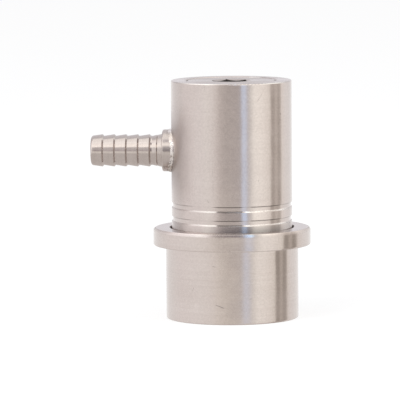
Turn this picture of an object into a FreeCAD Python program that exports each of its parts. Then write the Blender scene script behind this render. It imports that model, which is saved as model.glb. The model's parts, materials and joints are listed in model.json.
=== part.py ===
"""Ball lock disconnect: a sprung locking collar on a turned steel body with a welded hose barb.

The axis of the body is Z. The origin is at the centre of the collar's bottom rim, with the collar at rest.
The hose barb points along -X. All lengths are in millimetres and all angles in degrees.
"""

import FreeCAD, Part

import math
import os

import Sketcher

DOCUMENT = FreeCAD.newDocument("BallLockDisconnect")
SHEET = DOCUMENT.addObject("Spreadsheet::Sheet", "Sizes")

# Driving dimensions: name, value and what it measures.
DRIVING = [
    # Main body, outside
    ("body_diameter", 28.0, "outside diameter of the main body"),
    ("body_top", 55.35, "height of the body's top face above the collar's bottom rim"),
    ("body_round", 0.25, "rounding of the body's top edge and of the lower edge of each turned groove"),
    ("nose_step", 2.4, "radial step from the body in to the nose inside the collar"),
    ("nose_rise", 0.8, "height of the nose's end above the collar's bottom rim"),
    ("nose_edge", 0.4, "chamfer at the end of the nose, outside and inside"),
    ("groove_rise", 1.65, "height of the lower turned groove above the collar"),
    ("groove_pitch", 3.17, "distance from one turned groove to the next"),
    ("groove_width", 1.14, "width of each turned groove"),
    ("groove_depth", 0.3, "depth of each turned groove"),
    # Main body, inside
    ("guide_depth", 10.55, "depth of the bore that guides the post, from the nose's end"),
    ("seal_step", 1.15, "radial step from the guide bore in to the seal bore"),
    ("seal_length", 5.5, "length of the seal bore"),
    ("relief_depth", 0.45, "radial depth of the relief above the seal bore"),
    ("relief_length", 3.0, "length of the relief"),
    ("throat_gap", 0.7, "radial width of the passage round the poppet's stem"),
    ("throat_length", 5.0, "length of the throat, up to its conical seat"),
    ("chamber_gap", 2.2, "radial gap between the poppet's head and the wall of the valve chamber"),
    # Top cap
    ("rim_wall", 3.4, "wall of the body round the cap's head"),
    ("thread_gap", 0.05, "radial gap between the threaded stem and its bore"),
    ("thread_length", 5.9, "length of the cap's threaded stem"),
    ("thread_runout", 1.0, "length of the threaded bore under the cap's stem"),
    ("cap_ledge", 1.1, "radial ledge of the cap's head over its stem"),
    ("cap_head_thickness", 4.25, "thickness of the cap's head"),
    ("cap_recess", 0.1, "depth of the cap's face below the body's top face"),
    ("cap_gap", 0.1, "radial gap between the cap's head and its counterbore"),
    ("cap_edge", 0.25, "chamfers of the cap and of its counterbore"),
    ("cap_groove_rise", 0.5, "height of the O-ring groove above the head's underside"),
    ("cap_groove_depth", 1.3, "depth of the cap's O-ring groove"),
    ("cap_groove_spare", 0.25, "space above and below the O-ring in its groove"),
    ("socket_flats", 8.0, "distance across the flats of the hexagon socket"),
    ("socket_depth", 5.0, "depth of the hexagon socket"),
    ("socket_mouth", 0.7, "radial width of the cone at the socket's mouth, at the middle of a flat"),
    ("socket_cone_depth", 0.35, "depth of that cone at the middle of a flat"),
    ("socket_turn", -12.1, "turn of the hexagon about the axis"),
    # Hose barb
    ("barb_drop", 16.4, "distance from the body's top face down to the hose barb's axis"),
    ("barb_bore", 4.6, "bore of the hose barb and of the port behind it"),
    ("barb_root_diameter", 6.8, "diameter between the barb's ridges"),
    ("barb_ridge_height", 0.375, "height of a ridge over the root"),
    ("barb_ridges", 5, "number of ridges"),
    ("barb_pitch", 2.75, "distance from one ridge to the next"),
    ("barb_step_length", 0.35, "length of the steep back of each ridge"),
    ("barb_tip_length", 2.65, "distance from the last ridge to the tip"),
    ("barb_tip_round", 0.6, "rounding of the barb's tip"),
    ("barb_neck_length", 0.35, "plain length between the first ridge and the cone"),
    ("barb_cone_length", 2.3, "length of the cone at the collar"),
    ("barb_cone_rise", 0.475, "radial rise of that cone"),
    ("barb_scribe_width", 0.25, "width of the line turned into the cone"),
    ("barb_collar_ledge", 1.0, "radial ledge of the barb's collar over the cone"),
    ("barb_collar_length", 2.05, "length of the barb's collar outside the body"),
    ("barb_collar_round", 0.4, "rounding of the outer edge of the barb's collar"),
    ("spigot_wall", 1.1, "wall of the spigot that is let into the body"),
    ("spigot_cover", 0.3, "wall left between the spigot's hole and the bore of the cap's thread"),
    ("spigot_gap", 0.05, "radial gap round the spigot"),
    ("weld_leg", 0.6, "leg of the weld bead"),
    # Locking collar
    ("collar_gap", 0.25, "radial running gap between the collar and the body"),
    ("collar_cover", 2.65, "length of the full body that the collar covers at rest"),
    ("collar_travel", 4.0, "lift of the collar that frees the balls"),
    ("skirt_wall", 1.15, "wall of the skirt"),
    ("skirt_edge", 0.3, "chamfer inside the skirt's bottom rim"),
    ("flange_underside", 17.1, "height of the flange's underside"),
    ("flange_thickness", 4.05, "thickness of the flange"),
    ("flange_width", 2.9, "radial width of the flange over the skirt"),
    ("flange_round", 0.8, "rounding of the flange's top edge"),
    ("collar_round", 0.35, "rounding of the flange's lower edge and of the skirt's bottom rim"),
    ("collar_bore_edge", 0.3, "chamfer at the top of the collar's bore"),
    ("land_gap", 0.15, "radial gap between the cam land and the nose"),
    ("land_length", 1.45, "length of the cam land"),
    # Balls
    ("ball_diameter", 4.0, "diameter of a locking ball"),
    ("ball_count", 8, "number of locking balls"),
    ("ball_reach", 1.1, "how far a ball stands into the guide bore, and its travel outward"),
    ("ball_stand", 0.2, "how far a ball stands out of the nose"),
    ("ball_rise", 3.5, "height of the balls' centres above the retaining ring"),
    ("ball_gap", 0.05, "gap between a ball and its window, and between a ball and the cam cone"),
    # Retaining ring
    ("ring_land", 1.2, "length of nose below the retaining ring"),
    ("ring_thickness", 1.0, "thickness of the retaining ring"),
    ("ring_groove_depth", 0.6, "depth of the retaining ring's groove"),
    ("ring_stand", 1.8, "how far the retaining ring stands out of the nose"),
    ("ring_gap", 0.05, "radial gap between the ring and the floor of its groove"),
    ("ring_opening", 18.0, "angle left open between the ring's ends"),
    ("ring_cover_gap", 0.4, "radial gap between the ring and the skirt's counterbore"),
    # Spring seat ring and collar spring
    ("seat_ring_thickness", 0.8, "thickness of the spring seat ring"),
    ("seat_ring_gap", 0.2, "radial gap inside and outside the spring seat ring, outside the nose"),
    ("spring_side_gap", 0.625, "radial gap inside and outside the collar spring"),
    ("spring_wire_height", 0.8, "axial height of the collar spring's wire"),
    ("spring_turns", 4.0, "turns of the collar spring"),
    # Valve
    ("stem_diameter", 3.8, "diameter of the poppet's stem"),
    ("stem_reach", 2.7, "how far the stem reaches into the relief"),
    ("stem_edge", 0.3, "chamfers of the stem's tip and of the poppet's head"),
    ("poppet_ledge", 1.08, "radial ledge of the poppet's head beyond its O-ring"),
    ("poppet_thickness", 1.6, "thickness of the poppet's head"),
    ("stub_gap", 0.65, "radial gap between the valve spring and the stub inside it"),
    ("stub_length", 3.0, "length of that stub"),
    ("seal_ring_gap", 0.02, "gap between an O-ring and the walls round it"),
    ("valve_ring_section", 1.8, "thickness of the poppet's O-ring"),
    ("valve_spring_inset", 1.6, "distance from the edge of the poppet's head in to the middle of the wire"),
    ("valve_spring_wire", 0.7, "thickness of the valve spring's wire"),
    ("valve_spring_turns", 5.0, "turns of the valve spring"),
]

# Sizes that follow from the driving ones. Each is an expression, so pieces that mate share it.
BODY_R = "Sizes.body_diameter / 2"
NOSE_R = f"({BODY_R} - Sizes.nose_step)"

BALL_R = "Sizes.ball_diameter / 2"
BALL_CIRCLE_R = f"({NOSE_R} + Sizes.ball_stand - {BALL_R})"
WINDOW_R = f"({BALL_R} + Sizes.ball_gap)"

GUIDE_R = f"({BALL_CIRCLE_R} - {BALL_R} + Sizes.ball_reach)"
GUIDE_TOP = "(Sizes.nose_rise + Sizes.guide_depth)"
SEAL_R = f"({GUIDE_R} - Sizes.seal_step)"
SEAL_BOTTOM = f"({GUIDE_TOP} + Sizes.seal_step)"
SEAL_TOP = f"({SEAL_BOTTOM} + Sizes.seal_length)"
RELIEF_R = f"({SEAL_R} + Sizes.relief_depth)"
RELIEF_TOP = f"({SEAL_TOP} + Sizes.relief_length)"
THROAT_TOP = f"({RELIEF_TOP} + Sizes.throat_length)"

RING_BOTTOM = "(Sizes.nose_rise + Sizes.ring_land)"
RING_TOP = f"({RING_BOTTOM} + Sizes.ring_thickness)"
RING_GROOVE_R = f"({NOSE_R} - Sizes.ring_groove_depth)"
RING_R = f"({NOSE_R} + Sizes.ring_stand)"
BALL_HEIGHT = f"({RING_TOP} + Sizes.ball_rise)"

COLLAR_BORE_R = f"({BODY_R} + Sizes.collar_gap)"
SKIRT_R = f"({COLLAR_BORE_R} + Sizes.skirt_wall)"
SKIRT_COUNTERBORE_R = f"({RING_R} + Sizes.ring_cover_gap)"
FLANGE_R = f"({SKIRT_R} + Sizes.flange_width)"
FLANGE_TOP = "(Sizes.flange_underside + Sizes.flange_thickness)"
BODY_STEP = f"({FLANGE_TOP} - Sizes.collar_cover)"
LOWER_GROOVE = f"({FLANGE_TOP} + Sizes.groove_rise)"
UPPER_GROOVE = f"({LOWER_GROOVE} + Sizes.groove_pitch)"

# The cone moves a ball out by its whole reach while the collar lifts by its whole travel.
CAM_SLOPE = "(Sizes.ball_reach / Sizes.collar_travel)"
CAM_R = f"({BALL_CIRCLE_R} + {WINDOW_R} * sqrt(1 + {CAM_SLOPE} ^ 2))"
LAND_R = f"({NOSE_R} + Sizes.land_gap)"
LAND_BOTTOM = f"({BALL_HEIGHT} + ({CAM_R} - {LAND_R}) / {CAM_SLOPE})"
CONE_BOTTOM_R = f"({CAM_R} + {CAM_SLOPE} * Sizes.ball_rise)"
SHOULDER = f"({LAND_BOTTOM} + Sizes.land_length)"
SEAT_RING_TOP = f"({SHOULDER} + Sizes.seat_ring_thickness)"
SPRING_MEAN_R = f"({NOSE_R} + {COLLAR_BORE_R}) / 2"
SPRING_WIRE_WIDTH = f"({COLLAR_BORE_R} - {NOSE_R} - 2 * Sizes.spring_side_gap)"

# The poppet's O-ring touches a 45 degree cone that widens to the ring's outer edge.
STEM_R = "Sizes.stem_diameter / 2"
THROAT_R = f"({STEM_R} + Sizes.throat_gap)"
STEM_TIP = f"({RELIEF_TOP} - Sizes.stem_reach)"
VALVE_RING_R = "Sizes.valve_ring_section / 2"
VALVE_RING_CIRCLE_R = f"({STEM_R} + {VALVE_RING_R} + Sizes.seal_ring_gap)"
VALVE_RING_HEIGHT = (
    f"({THROAT_TOP} + {VALVE_RING_CIRCLE_R} - {THROAT_R}"
    f" + sqrt(2) * ({VALVE_RING_R} + Sizes.seal_ring_gap))"
)
SEAT_R = f"({VALVE_RING_CIRCLE_R} + {VALVE_RING_R})"
CHAMBER_FLOOR = f"({THROAT_TOP} + {SEAT_R} - {THROAT_R})"
POPPET_R = f"({SEAT_R} + Sizes.poppet_ledge)"
CHAMBER_R = f"({POPPET_R} + Sizes.chamber_gap)"
POPPET_BOTTOM = f"({VALVE_RING_HEIGHT} + {VALVE_RING_R} + Sizes.seal_ring_gap)"
POPPET_TOP = f"({POPPET_BOTTOM} + Sizes.poppet_thickness)"
VALVE_SPRING_R = f"({POPPET_R} - Sizes.valve_spring_inset)"
STUB_R = f"({VALVE_SPRING_R} - Sizes.valve_spring_wire / 2 - Sizes.stub_gap)"

CAP_FACE = "(Sizes.body_top - Sizes.cap_recess)"
CAP_SEAT = f"({CAP_FACE} - Sizes.cap_head_thickness)"
CAP_COUNTERBORE_R = f"({BODY_R} - Sizes.rim_wall)"
CAP_R = f"({CAP_COUNTERBORE_R} - Sizes.cap_gap)"
THREAD_R = f"({CAP_R} - Sizes.cap_ledge)"
THREAD_BORE_R = f"({THREAD_R} + Sizes.thread_gap)"
THREAD_BOTTOM = f"({CAP_SEAT} - Sizes.thread_length)"
CHAMBER_TOP = f"({THREAD_BOTTOM} - Sizes.thread_runout)"
CAP_GROOVE_R = f"({CAP_R} - Sizes.cap_groove_depth)"
CAP_GROOVE_BOTTOM = f"({CAP_SEAT} + Sizes.cap_groove_rise)"
CAP_RING_SPACE = f"(({CAP_COUNTERBORE_R} - {CAP_GROOVE_R}) / 2)"
CAP_RING_HEIGHT = f"({CAP_GROOVE_BOTTOM} + Sizes.cap_groove_spare + {CAP_RING_SPACE})"
CAP_GROOVE_TOP = f"({CAP_RING_HEIGHT} + {CAP_RING_SPACE} + Sizes.cap_groove_spare)"

BARB_HEIGHT = "(Sizes.body_top - Sizes.barb_drop)"
BARB_BORE_R = "Sizes.barb_bore / 2"
BARB_ROOT_R = "Sizes.barb_root_diameter / 2"
BARB_RIDGE_R = f"({BARB_ROOT_R} + Sizes.barb_ridge_height)"
BARB_CONE_R = f"({BARB_ROOT_R} + Sizes.barb_cone_rise)"
BARB_COLLAR_R = f"({BARB_CONE_R} + Sizes.barb_collar_ledge)"
BARB_COLLAR_FACE = f"({BODY_R} + Sizes.barb_collar_length)"
BARB_CONE_END = f"({BARB_COLLAR_FACE} + Sizes.barb_cone_length)"
BARB_FIRST_RIDGE = f"({BARB_CONE_END} + Sizes.barb_neck_length + Sizes.barb_step_length)"
BARB_LAST_RIDGE = f"({BARB_FIRST_RIDGE} + (Sizes.barb_ridges - 1) * Sizes.barb_pitch)"
BARB_TIP = f"({BARB_LAST_RIDGE} + Sizes.barb_tip_length)"
SPIGOT_R = f"({BARB_BORE_R} + Sizes.spigot_wall)"
SPIGOT_END = f"({THREAD_BORE_R} + Sizes.spigot_cover)"

# Turning a piece's own Z axis to point along -X or along +X.
TOWARDS_BARB = FreeCAD.Rotation(FreeCAD.Vector(0, 1, 0), -90)
ALONG_X = FreeCAD.Rotation(FreeCAD.Vector(0, 1, 0), 90)

# Two edges closer than this are the same edge.
SAME_PLACE = 0.001


def fill_sheet():
    """Write each driving dimension in the sheet, with its name as the alias."""
    for row, (name, value, meaning) in enumerate(DRIVING, start=1):
        SHEET.set(f"A{row}", meaning)
        SHEET.set(f"B{row}", str(value))
        SHEET.setAlias(f"B{row}", name)
    DOCUMENT.recompute()


def number(expression):
    """Work out an expression of the sheet's sizes."""
    return float(SHEET.evalExpression(expression))


def new_body(label):
    """Start a sub-part whose label is also the name of its file."""
    body = DOCUMENT.addObject("PartDesign::Body", label)
    body.Label = label
    return body


def origin_part(body, role):
    """Find a plane or an axis of the body's own origin."""
    return next(item for item in body.Origin.OriginFeatures if item.Role == role)


def new_sketch(body, role, name):
    """Start a sketch on a plane of the body's own origin."""
    sketch = body.newObject("Sketcher::SketchObject", name)
    sketch.AttachmentSupport = (origin_part(body, role), [""])
    sketch.MapMode = "FlatFace"
    return sketch


def hold(sketch, kind, side, end, expression):
    """Hold one point of a side at a distance across or up from the sketch's origin."""
    place = sketch.addConstraint(Sketcher.Constraint(kind, -1, 1, side, end, number(expression)))
    sketch.setExpression(f"Constraints[{place}]", expression)


def hold_spot(sketch, side, end, across, up):
    """Hold one point of a side both ways."""
    hold(sketch, "DistanceX", side, end, across)
    hold(sketch, "DistanceY", side, end, up)


def join_sides(sketch, count):
    """Join the end of each side to the start of the next, and the last to the first."""
    for side in range(count):
        sketch.addConstraint(Sketcher.Constraint("Coincident", side, 2, (side + 1) % count, 1))


def outline(body, role, name, corners):
    """Sketch a closed outline of straight sides, with each corner held by two expressions.

    In the XZ plane a corner is a radius and a height, so the outline can be turned round the Z axis.
    """
    sketch = new_sketch(body, role, name)
    spots = [FreeCAD.Vector(number(across), number(up), 0) for across, up in corners]
    sides = [Part.LineSegment(start, end) for start, end in zip(spots, spots[1:] + spots[:1])]
    sketch.addGeometry(sides, False)
    join_sides(sketch, len(corners))
    for side, (across, up) in enumerate(corners):
        hold_spot(sketch, side, 1, across, up)
    return sketch


def rectangle(inner, outer, bottom, top):
    """Corners of a rectangle from two radii and two heights."""
    return [(inner, bottom), (outer, bottom), (outer, top), (inner, top)]


def turned(body, name, corners, kind="Revolution"):
    """Turn an outline round the body's Z axis, as added material or as a Groove."""
    profile = outline(body, "XZ_Plane", name + "Profile", corners)
    feature = body.newObject("PartDesign::" + kind, name)
    feature.Profile = profile
    feature.ReferenceAxis = (profile, ["V_Axis"])
    feature.Angle = 360
    profile.Visibility = False
    return feature


def drilled(body, name, radius, start):
    """Drill a round hole out through the body's wall at the hose barb, from a distance off the axis."""
    drill = body.newObject("PartDesign::SubtractiveCylinder", name)
    drill.Placement = FreeCAD.Placement(FreeCAD.Vector(), TOWARDS_BARB)
    drill.setExpression("Radius", radius)
    drill.setExpression("Height", BODY_R)
    drill.setExpression("Placement.Base.x", f"-({start})")
    drill.setExpression("Placement.Base.z", BARB_HEIGHT)
    return drill


def rounded(body, name, feature, circles, radius):
    """Round the circular edges of a feature that lie at the given radii and heights."""
    DOCUMENT.recompute()
    wanted = [(number(across), number(up)) for across, up in circles]
    edges = []
    for place, edge in enumerate(feature.Shape.Edges, start=1):
        if isinstance(edge.Curve, Part.Circle):
            found = (edge.Curve.Radius, edge.Curve.Center.z)
            if any(math.dist(found, circle) < SAME_PLACE for circle in wanted):
                edges.append(f"Edge{place}")
    fillet = body.newObject("PartDesign::Fillet", name)
    fillet.Base = (feature, edges)
    fillet.setExpression("Radius", radius)
    return fillet


def cut_ball_window(body):
    """Cut the first ball window: a round hole along +X that ends in half a sphere."""
    sketch = new_sketch(body, "XZ_Plane", "WindowProfile")
    middle = FreeCAD.Vector(number(BALL_CIRCLE_R), number(BALL_HEIGHT), 0)
    radius = number(WINDOW_R)
    beyond = FreeCAD.Vector(number("Sizes.ball_diameter"), 0, 0)
    up = FreeCAD.Vector(0, radius, 0)
    inner_end = middle - FreeCAD.Vector(radius, 0, 0)
    circle = Part.Circle(middle, FreeCAD.Vector(0, 0, 1), radius)
    sketch.addGeometry(Part.LineSegment(inner_end, middle + beyond), False)
    sketch.addGeometry(Part.LineSegment(middle + beyond, middle + beyond + up), False)
    sketch.addGeometry(Part.LineSegment(middle + beyond + up, middle + up), False)
    sketch.addGeometry(Part.ArcOfCircle(circle, math.pi / 2, math.pi), False)
    sketch.addGeometry(Part.LineSegment(inner_end, middle), True)
    join_sides(sketch, 4)
    outside = f"{BALL_CIRCLE_R} + Sizes.ball_diameter"
    hold(sketch, "DistanceY", 0, 1, BALL_HEIGHT)
    hold_spot(sketch, 1, 1, outside, BALL_HEIGHT)
    hold_spot(sketch, 2, 1, outside, f"{BALL_HEIGHT} + {WINDOW_R}")
    hold_spot(sketch, 3, 1, BALL_CIRCLE_R, f"{BALL_HEIGHT} + {WINDOW_R}")
    hold_spot(sketch, 4, 1, f"{BALL_CIRCLE_R} - {WINDOW_R}", BALL_HEIGHT)
    hold_spot(sketch, 4, 2, BALL_CIRCLE_R, BALL_HEIGHT)
    sketch.addConstraint(Sketcher.Constraint("Coincident", 3, 3, 4, 2))
    window = body.newObject("PartDesign::Groove", "BallWindow")
    window.Profile = sketch
    window.ReferenceAxis = (sketch, ["Axis0"])
    window.Angle = 360
    sketch.Visibility = False
    return window


def turned_groove(bottom):
    """Corners of a shallow square groove in the body."""
    floor_radius = f"{BODY_R} - Sizes.groove_depth"
    return [
        (BODY_R, bottom),
        (floor_radius, bottom),
        (floor_radius, f"{bottom} + Sizes.groove_width"),
        (BODY_R, f"{bottom} + Sizes.groove_width"),
    ]


def make_main_body():
    """The turned barrel: nose, seal bore, throat with its valve seat, chamber and cap counterbore."""
    body = new_body("main_body")
    outside = [
        (f"{GUIDE_R} + Sizes.nose_edge", "Sizes.nose_rise"),
        (f"{NOSE_R} - Sizes.nose_edge", "Sizes.nose_rise"),
        (NOSE_R, "Sizes.nose_rise + Sizes.nose_edge"),
        (NOSE_R, RING_BOTTOM),
        (RING_GROOVE_R, RING_BOTTOM),
        (RING_GROOVE_R, RING_TOP),
        (NOSE_R, RING_TOP),
        (NOSE_R, BODY_STEP),
        (BODY_R, BODY_STEP),
        *turned_groove(LOWER_GROOVE),
        *turned_groove(UPPER_GROOVE),
        (BODY_R, "Sizes.body_top"),
    ]
    inside = [
        (f"{CAP_COUNTERBORE_R} + Sizes.cap_edge", "Sizes.body_top"),
        (CAP_COUNTERBORE_R, "Sizes.body_top - Sizes.cap_edge"),
        (CAP_COUNTERBORE_R, CAP_SEAT),
        (THREAD_BORE_R, CAP_SEAT),
        (THREAD_BORE_R, CHAMBER_TOP),
        (CHAMBER_R, CHAMBER_TOP),
        (CHAMBER_R, CHAMBER_FLOOR),
        (SEAT_R, CHAMBER_FLOOR),
        (THROAT_R, THROAT_TOP),
        (THROAT_R, RELIEF_TOP),
        (RELIEF_R, RELIEF_TOP),
        (RELIEF_R, SEAL_TOP),
        (SEAL_R, SEAL_TOP),
        (SEAL_R, SEAL_BOTTOM),
        (GUIDE_R, GUIDE_TOP),
        (GUIDE_R, "Sizes.nose_rise + Sizes.nose_edge"),
    ]
    barrel = turned(body, "Barrel", outside + inside)
    soft_edges = [(BODY_R, LOWER_GROOVE), (BODY_R, UPPER_GROOVE), (BODY_R, "Sizes.body_top")]
    rounded(body, "RoundEdges", barrel, soft_edges, "Sizes.body_round")

    # A ball drops into its window from outside and can't fall through to the bore.
    window = cut_ball_window(body)
    DOCUMENT.recompute()
    windows = body.newObject("PartDesign::PolarPattern", "BallWindows")
    windows.Originals = [window]
    windows.Axis = (origin_part(body, "Z_Axis"), [""])
    windows.Angle = 360
    windows.setExpression("Occurrences", "Sizes.ball_count")
    body.Tip = windows

    drilled(body, "SpigotHole", f"{SPIGOT_R} + Sizes.spigot_gap", SPIGOT_END)
    drilled(body, "Port", BARB_BORE_R, "0")
    return body


def make_hose_barb():
    """The hose barb, turned round its own Z axis, coped to the barrel and bored through."""
    body = new_body("hose_barb")
    ridges = []
    for ridge in range(int(number("Sizes.barb_ridges"))):
        crest = f"{BARB_LAST_RIDGE} - {ridge} * Sizes.barb_pitch"
        ridges.append((BARB_RIDGE_R, crest))
        ridges.append((BARB_ROOT_R, f"{crest} - Sizes.barb_step_length"))
    cone_middle = f"{BARB_COLLAR_FACE} + Sizes.barb_cone_length / 2"
    cone_middle_radius = f"({BARB_ROOT_R} + {BARB_CONE_R}) / 2"
    stem = [
        ("0", BARB_TIP),
        (BARB_ROOT_R, BARB_TIP),
        *ridges,
        (BARB_ROOT_R, BARB_CONE_END),
        (cone_middle_radius, f"{cone_middle} + Sizes.barb_scribe_width / 2"),
        (f"{cone_middle_radius} - Sizes.barb_scribe_width / 2", cone_middle),
        (cone_middle_radius, f"{cone_middle} - Sizes.barb_scribe_width / 2"),
        (BARB_CONE_R, BARB_COLLAR_FACE),
    ]
    collar = [
        (BARB_COLLAR_R, BARB_COLLAR_FACE),
        (BARB_COLLAR_R, SPIGOT_END),
        ("0", SPIGOT_END),
    ]
    turned_stem = turned(body, "Stem", stem + collar)
    tip = (BARB_ROOT_R, BARB_TIP)
    rounded_tip = rounded(body, "RoundTip", turned_stem, [tip], "Sizes.barb_tip_round")
    collar_edge = (BARB_COLLAR_R, BARB_COLLAR_FACE)
    rounded(body, "RoundCollar", rounded_tip, [collar_edge], "Sizes.barb_collar_round")

    # The barrel's own outline is taken out of the collar, which leaves the curved cope.
    cope = body.newObject("PartDesign::SubtractiveCylinder", "Cope")
    cope.Placement = FreeCAD.Placement(FreeCAD.Vector(), ALONG_X)
    cope.setExpression("Radius", BODY_R)
    cope.setExpression("Height", f"4 * {BARB_COLLAR_R}")
    cope.setExpression("Placement.Base.x", f"-2 * {BARB_COLLAR_R}")
    spigot = body.newObject("PartDesign::AdditiveCylinder", "Spigot")
    spigot.setExpression("Radius", SPIGOT_R)
    spigot.setExpression("Height", f"{BARB_COLLAR_FACE} - {SPIGOT_END}")
    spigot.setExpression("Placement.Base.z", SPIGOT_END)
    bore = body.newObject("PartDesign::SubtractiveCylinder", "Bore")
    bore.setExpression("Radius", BARB_BORE_R)
    bore.setExpression("Height", BARB_TIP)

    body.Placement = FreeCAD.Placement(FreeCAD.Vector(), TOWARDS_BARB)
    body.setExpression("Placement.Base.z", BARB_HEIGHT)
    return body


def make_barb_weld():
    """The weld bead in the corner between the barb's collar and the barrel.

    A barrel and a collar are joined, their corner is filled at 45 degrees, and both are taken away again.
    """
    collar_radius = number(BARB_COLLAR_R)
    leg = number("Sizes.weld_leg")
    reach = number(BARB_COLLAR_FACE)
    span = 2 * (collar_radius + 2 * leg)
    barrel = Part.makeCylinder(number(BODY_R), span, FreeCAD.Vector(0, 0, -span / 2))
    collar = Part.makeCylinder(collar_radius, reach, FreeCAD.Vector(), FreeCAD.Vector(-1, 0, 0))
    joined = barrel.fuse(collar).removeSplitter()
    half_way = number(f"{BODY_R} + Sizes.barb_collar_length / 2")
    corner = [
        edge
        for edge in joined.Edges
        if -half_way < edge.BoundBox.XMin and edge.BoundBox.XMax < 0 and edge.BoundBox.YLength > collar_radius
    ]
    filled = joined.makeChamfer(leg, corner)
    weld = DOCUMENT.addObject("Part::Feature", "barb_weld")
    weld.Label = "barb_weld"
    weld.Shape = filled.cut(barrel).cut(collar)
    weld.Placement = FreeCAD.Placement(FreeCAD.Vector(0, 0, number(BARB_HEIGHT)), FreeCAD.Rotation())
    return weld


def make_top_cap():
    """The round plug: threaded stem, O-ring groove, conical mouth and hexagon socket."""
    body = new_body("top_cap")
    turned(
        body,
        "Plug",
        [
            ("0", THREAD_BOTTOM),
            (f"{THREAD_R} - Sizes.cap_edge", THREAD_BOTTOM),
            (THREAD_R, f"{THREAD_BOTTOM} + Sizes.cap_edge"),
            (THREAD_R, CAP_SEAT),
            (CAP_R, CAP_SEAT),
            (CAP_R, CAP_GROOVE_BOTTOM),
            (CAP_GROOVE_R, CAP_GROOVE_BOTTOM),
            (CAP_GROOVE_R, CAP_GROOVE_TOP),
            (CAP_R, CAP_GROOVE_TOP),
            (CAP_R, f"{CAP_FACE} - Sizes.cap_edge"),
            (f"{CAP_R} - Sizes.cap_edge", CAP_FACE),
            ("Sizes.socket_flats / 2 + Sizes.socket_mouth", CAP_FACE),
            ("Sizes.socket_flats / 2", f"{CAP_FACE} - Sizes.socket_cone_depth"),
            ("0", f"{CAP_FACE} - Sizes.socket_cone_depth"),
        ],
    )
    corner_radius = "Sizes.socket_flats / sqrt(3)"
    corners = []
    for corner in range(6):
        angle = f"(120 + Sizes.socket_turn + {corner} * 60)"
        corners.append((f"{corner_radius} * cos({angle})", f"{corner_radius} * sin({angle})"))
    hexagon = outline(body, "XY_Plane", "Hexagon", corners)
    hexagon.setExpression("AttachmentOffset.Base.z", CAP_FACE)
    socket = body.newObject("PartDesign::Pocket", "Socket")
    socket.Profile = hexagon
    socket.setExpression("Length", "Sizes.socket_depth")
    hexagon.Visibility = False
    return body


def make_o_ring(label, circle_radius, section_radius, height):
    """A plain O-ring round the Z axis."""
    ring = DOCUMENT.addObject("Part::Torus", label)
    ring.Label = label
    ring.setExpression("Radius1", circle_radius)
    ring.setExpression("Radius2", section_radius)
    ring.setExpression("Placement.Base.z", height)
    return ring


def make_cap_o_ring():
    """The cap's O-ring, between the floor of its groove and the counterbore."""
    middle = f"({CAP_COUNTERBORE_R} + {CAP_GROOVE_R}) / 2"
    section = f"{CAP_RING_SPACE} - Sizes.seal_ring_gap"
    return make_o_ring("cap_o_ring", middle, section, CAP_RING_HEIGHT)


def make_retaining_ring():
    """The open snap ring in the nose's groove, which the collar rests on."""
    body = new_body("retaining_ring")
    inner = f"{RING_GROOVE_R} + Sizes.ring_gap"
    ring = turned(body, "Ring", rectangle(inner, RING_R, RING_BOTTOM, RING_TOP))
    ring.Midplane = True
    ring.setExpression("Angle", "360 - Sizes.ring_opening")
    return body


def make_locking_collar():
    """The sliding sleeve: skirt, finger flange, shoulder for the spring, cam land and cam cone."""
    body = new_body("locking_collar")
    sleeve = turned(
        body,
        "Sleeve",
        [
            (f"{SKIRT_COUNTERBORE_R} + Sizes.skirt_edge", "0"),
            (SKIRT_R, "0"),
            (SKIRT_R, "Sizes.flange_underside"),
            (FLANGE_R, "Sizes.flange_underside"),
            (FLANGE_R, FLANGE_TOP),
            (f"{COLLAR_BORE_R} + Sizes.collar_bore_edge", FLANGE_TOP),
            (COLLAR_BORE_R, f"{FLANGE_TOP} - Sizes.collar_bore_edge"),
            (COLLAR_BORE_R, SHOULDER),
            (LAND_R, SHOULDER),
            (LAND_R, LAND_BOTTOM),
            (CONE_BOTTOM_R, RING_TOP),
            (SKIRT_COUNTERBORE_R, RING_TOP),
            (SKIRT_COUNTERBORE_R, "Sizes.skirt_edge"),
        ],
    )
    skirt_rim = (SKIRT_R, "0")
    flange_rim = (FLANGE_R, "Sizes.flange_underside")
    rims = rounded(body, "RoundRims", sleeve, [skirt_rim, flange_rim], "Sizes.collar_round")
    rounded(body, "RoundFlange", rims, [(FLANGE_R, FLANGE_TOP)], "Sizes.flange_round")
    return body


def make_spring_seat_ring():
    """The flat ring on the collar's shoulder, which the spring stands on and the collar turns under."""
    body = new_body("spring_seat_ring")
    inner = f"{NOSE_R} + Sizes.seat_ring_gap"
    outer = f"{COLLAR_BORE_R} - Sizes.seat_ring_gap"
    turned(body, "Ring", rectangle(inner, outer, SHOULDER, SEAT_RING_TOP))
    return body


def make_coil_spring(label, mean_radius, wire_width, wire_height, bottom, top, turns):
    """A coil of rectangular wire, ground flat at both ends."""
    body = new_body(label)
    inner = f"{mean_radius} - {wire_width} / 2"
    outer = f"{mean_radius} + {wire_width} / 2"
    section = rectangle(inner, outer, f"{bottom} - {wire_height} / 2", f"{bottom} + {wire_height} / 2")
    wire = outline(body, "XZ_Plane", "WireSection", section)
    coil = body.newObject("PartDesign::AdditiveHelix", "Coil")
    coil.Profile = wire
    coil.ReferenceAxis = (wire, ["V_Axis"])
    coil.Mode = "height-turns-angle"
    coil.setExpression("Height", f"{top} - {bottom}")
    coil.setExpression("Turns", turns)
    DOCUMENT.recompute()
    clear_inner = f"{inner} - {wire_width} / 2"
    clear_outer = f"{outer} + {wire_width} / 2"
    under = rectangle(clear_inner, clear_outer, f"{bottom} - {wire_height}", bottom)
    over = rectangle(clear_inner, clear_outer, top, f"{top} + {wire_height}")
    turned(body, "GroundBottom", under, "Groove")
    turned(body, "GroundTop", over, "Groove")
    return body


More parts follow.
